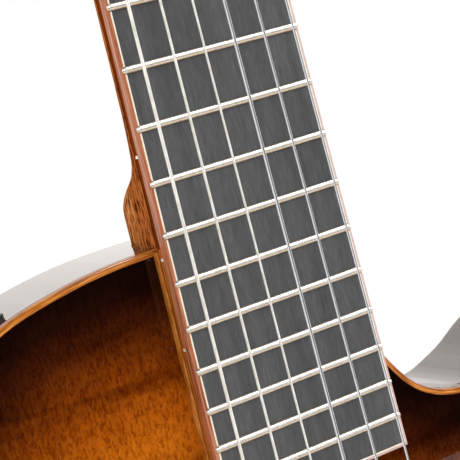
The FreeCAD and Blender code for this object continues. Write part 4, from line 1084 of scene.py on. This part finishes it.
neck_wood = neck_paint()
ebony = board_paint()
board_edge = board_binding_paint()
body_edge = body_binding_paint()
burst = burst_paint()
rim_wood = gloss_wood_paint("rim_gloss", (0.018, 0.006, 0.003), (0.060, 0.022, 0.012))
back_wood = gloss_wood_paint("back_gloss", (0.026, 0.009, 0.004), (0.120, 0.042, 0.015), 0.45, 0.1)
dark_wood = plain_wood_paint("head_rosewood", (0.035, 0.013, 0.007), (0.13, 0.050, 0.024), 0.45, 0.15)
bare_wood = plain_wood_paint("bare_spruce", (0.55, 0.42, 0.25), (0.72, 0.58, 0.38), 0.6)
rosewood = bridge_paint()
fret_metal = fret_paint()
steel = metal_paint("steel", (0.56, 0.56, 0.58), 0.3)
brass = metal_paint("brass", BRASS, 0.2)
chrome = metal_paint("chrome", (0.85, 0.86, 0.88), 0.06)
foil = metal_paint("foil", (0.55, 0.50, 0.42), 0.4)
bone = bone_paint("bone", (0.86, 0.80, 0.66))
cream = bone_paint("cream_line", (0.95, 0.88, 0.70))
white_dot = plastic_paint("white_dot", (0.80, 0.78, 0.72), (0.93, 0.92, 0.88), 0.25, 0.4)
black = plastic_paint("black_plastic", (0.012, 0.012, 0.013), (0.028, 0.028, 0.030), 0.42)
knob_black = plastic_paint("knob_black", (0.010, 0.010, 0.011), (0.022, 0.022, 0.024), 0.3, 0.3)
grey_case = plastic_paint("battery_case", (0.06, 0.065, 0.07), (0.10, 0.11, 0.12), 0.35)
key_parts = key_paint()
roller_parts = roller_paint()
felt = felt_paint()
wound = wound_paint()
nylon = nylon_paint()

for material, names in (
    (rim_wood, ["body_core", "back_binding"]),
    (back_wood, ["back_plate"]),
    (bare_wood, ["top_braces"]),
    (neck_wood, ["neck"]),
    (dark_wood, ["heel_cap", "headstock_veneer", "truss_rod_cover"]),
    (steel, ["truss_rod", "truss_rod_nut", "strap_screws"]),
    (ebony, ["fingerboard"]),
    (board_edge, ["fingerboard_binding"]),
    (cream, ["fingerboard_purfling"]),
    (white_dot, ["side_dots"]),
    (fret_metal, ["frets"]),
    (bone, ["nut", "saddle", "tie_block_inlay"]),
    (brass, ["tuner_plate_bass", "tuner_plate_treble", "tuner_screws"]),
    (rosewood, ["bridge"]),
    (foil, ["saddle_pickup"]),
    (black, ["preamp_panel", "preamp_box", "battery_box", "battery_door"]),
    (knob_black, ["preamp_knob_1", "preamp_knob_2", "preamp_knob_3"]),
    (grey_case, ["battery"]),
    (chrome, ["output_jack", "jack_plate", "strap_button_end", "strap_button_heel"]),
    (felt, ["strap_felts"]),
    (key_parts, ["tuner_key_%d" % number for number in STRINGS]),
    (roller_parts, ["string_roller_%d" % number for number in STRINGS]),
):
    for name in names:
        dress(name, material)

make_top(burst)
make_binding(body_edge)
make_neck_border(body_edge)
for number in WOUND:
    make_wound_string(number, wound)
    make_roller_winding(number, wound)
    make_tie_knot(number, wound)
for number in NYLON:
    make_nylon_string(number, nylon)
    make_roller_winding(number, nylon)
    make_tie_knot(number, nylon)
for number in STRINGS:
    make_worm_thread(number, brass)
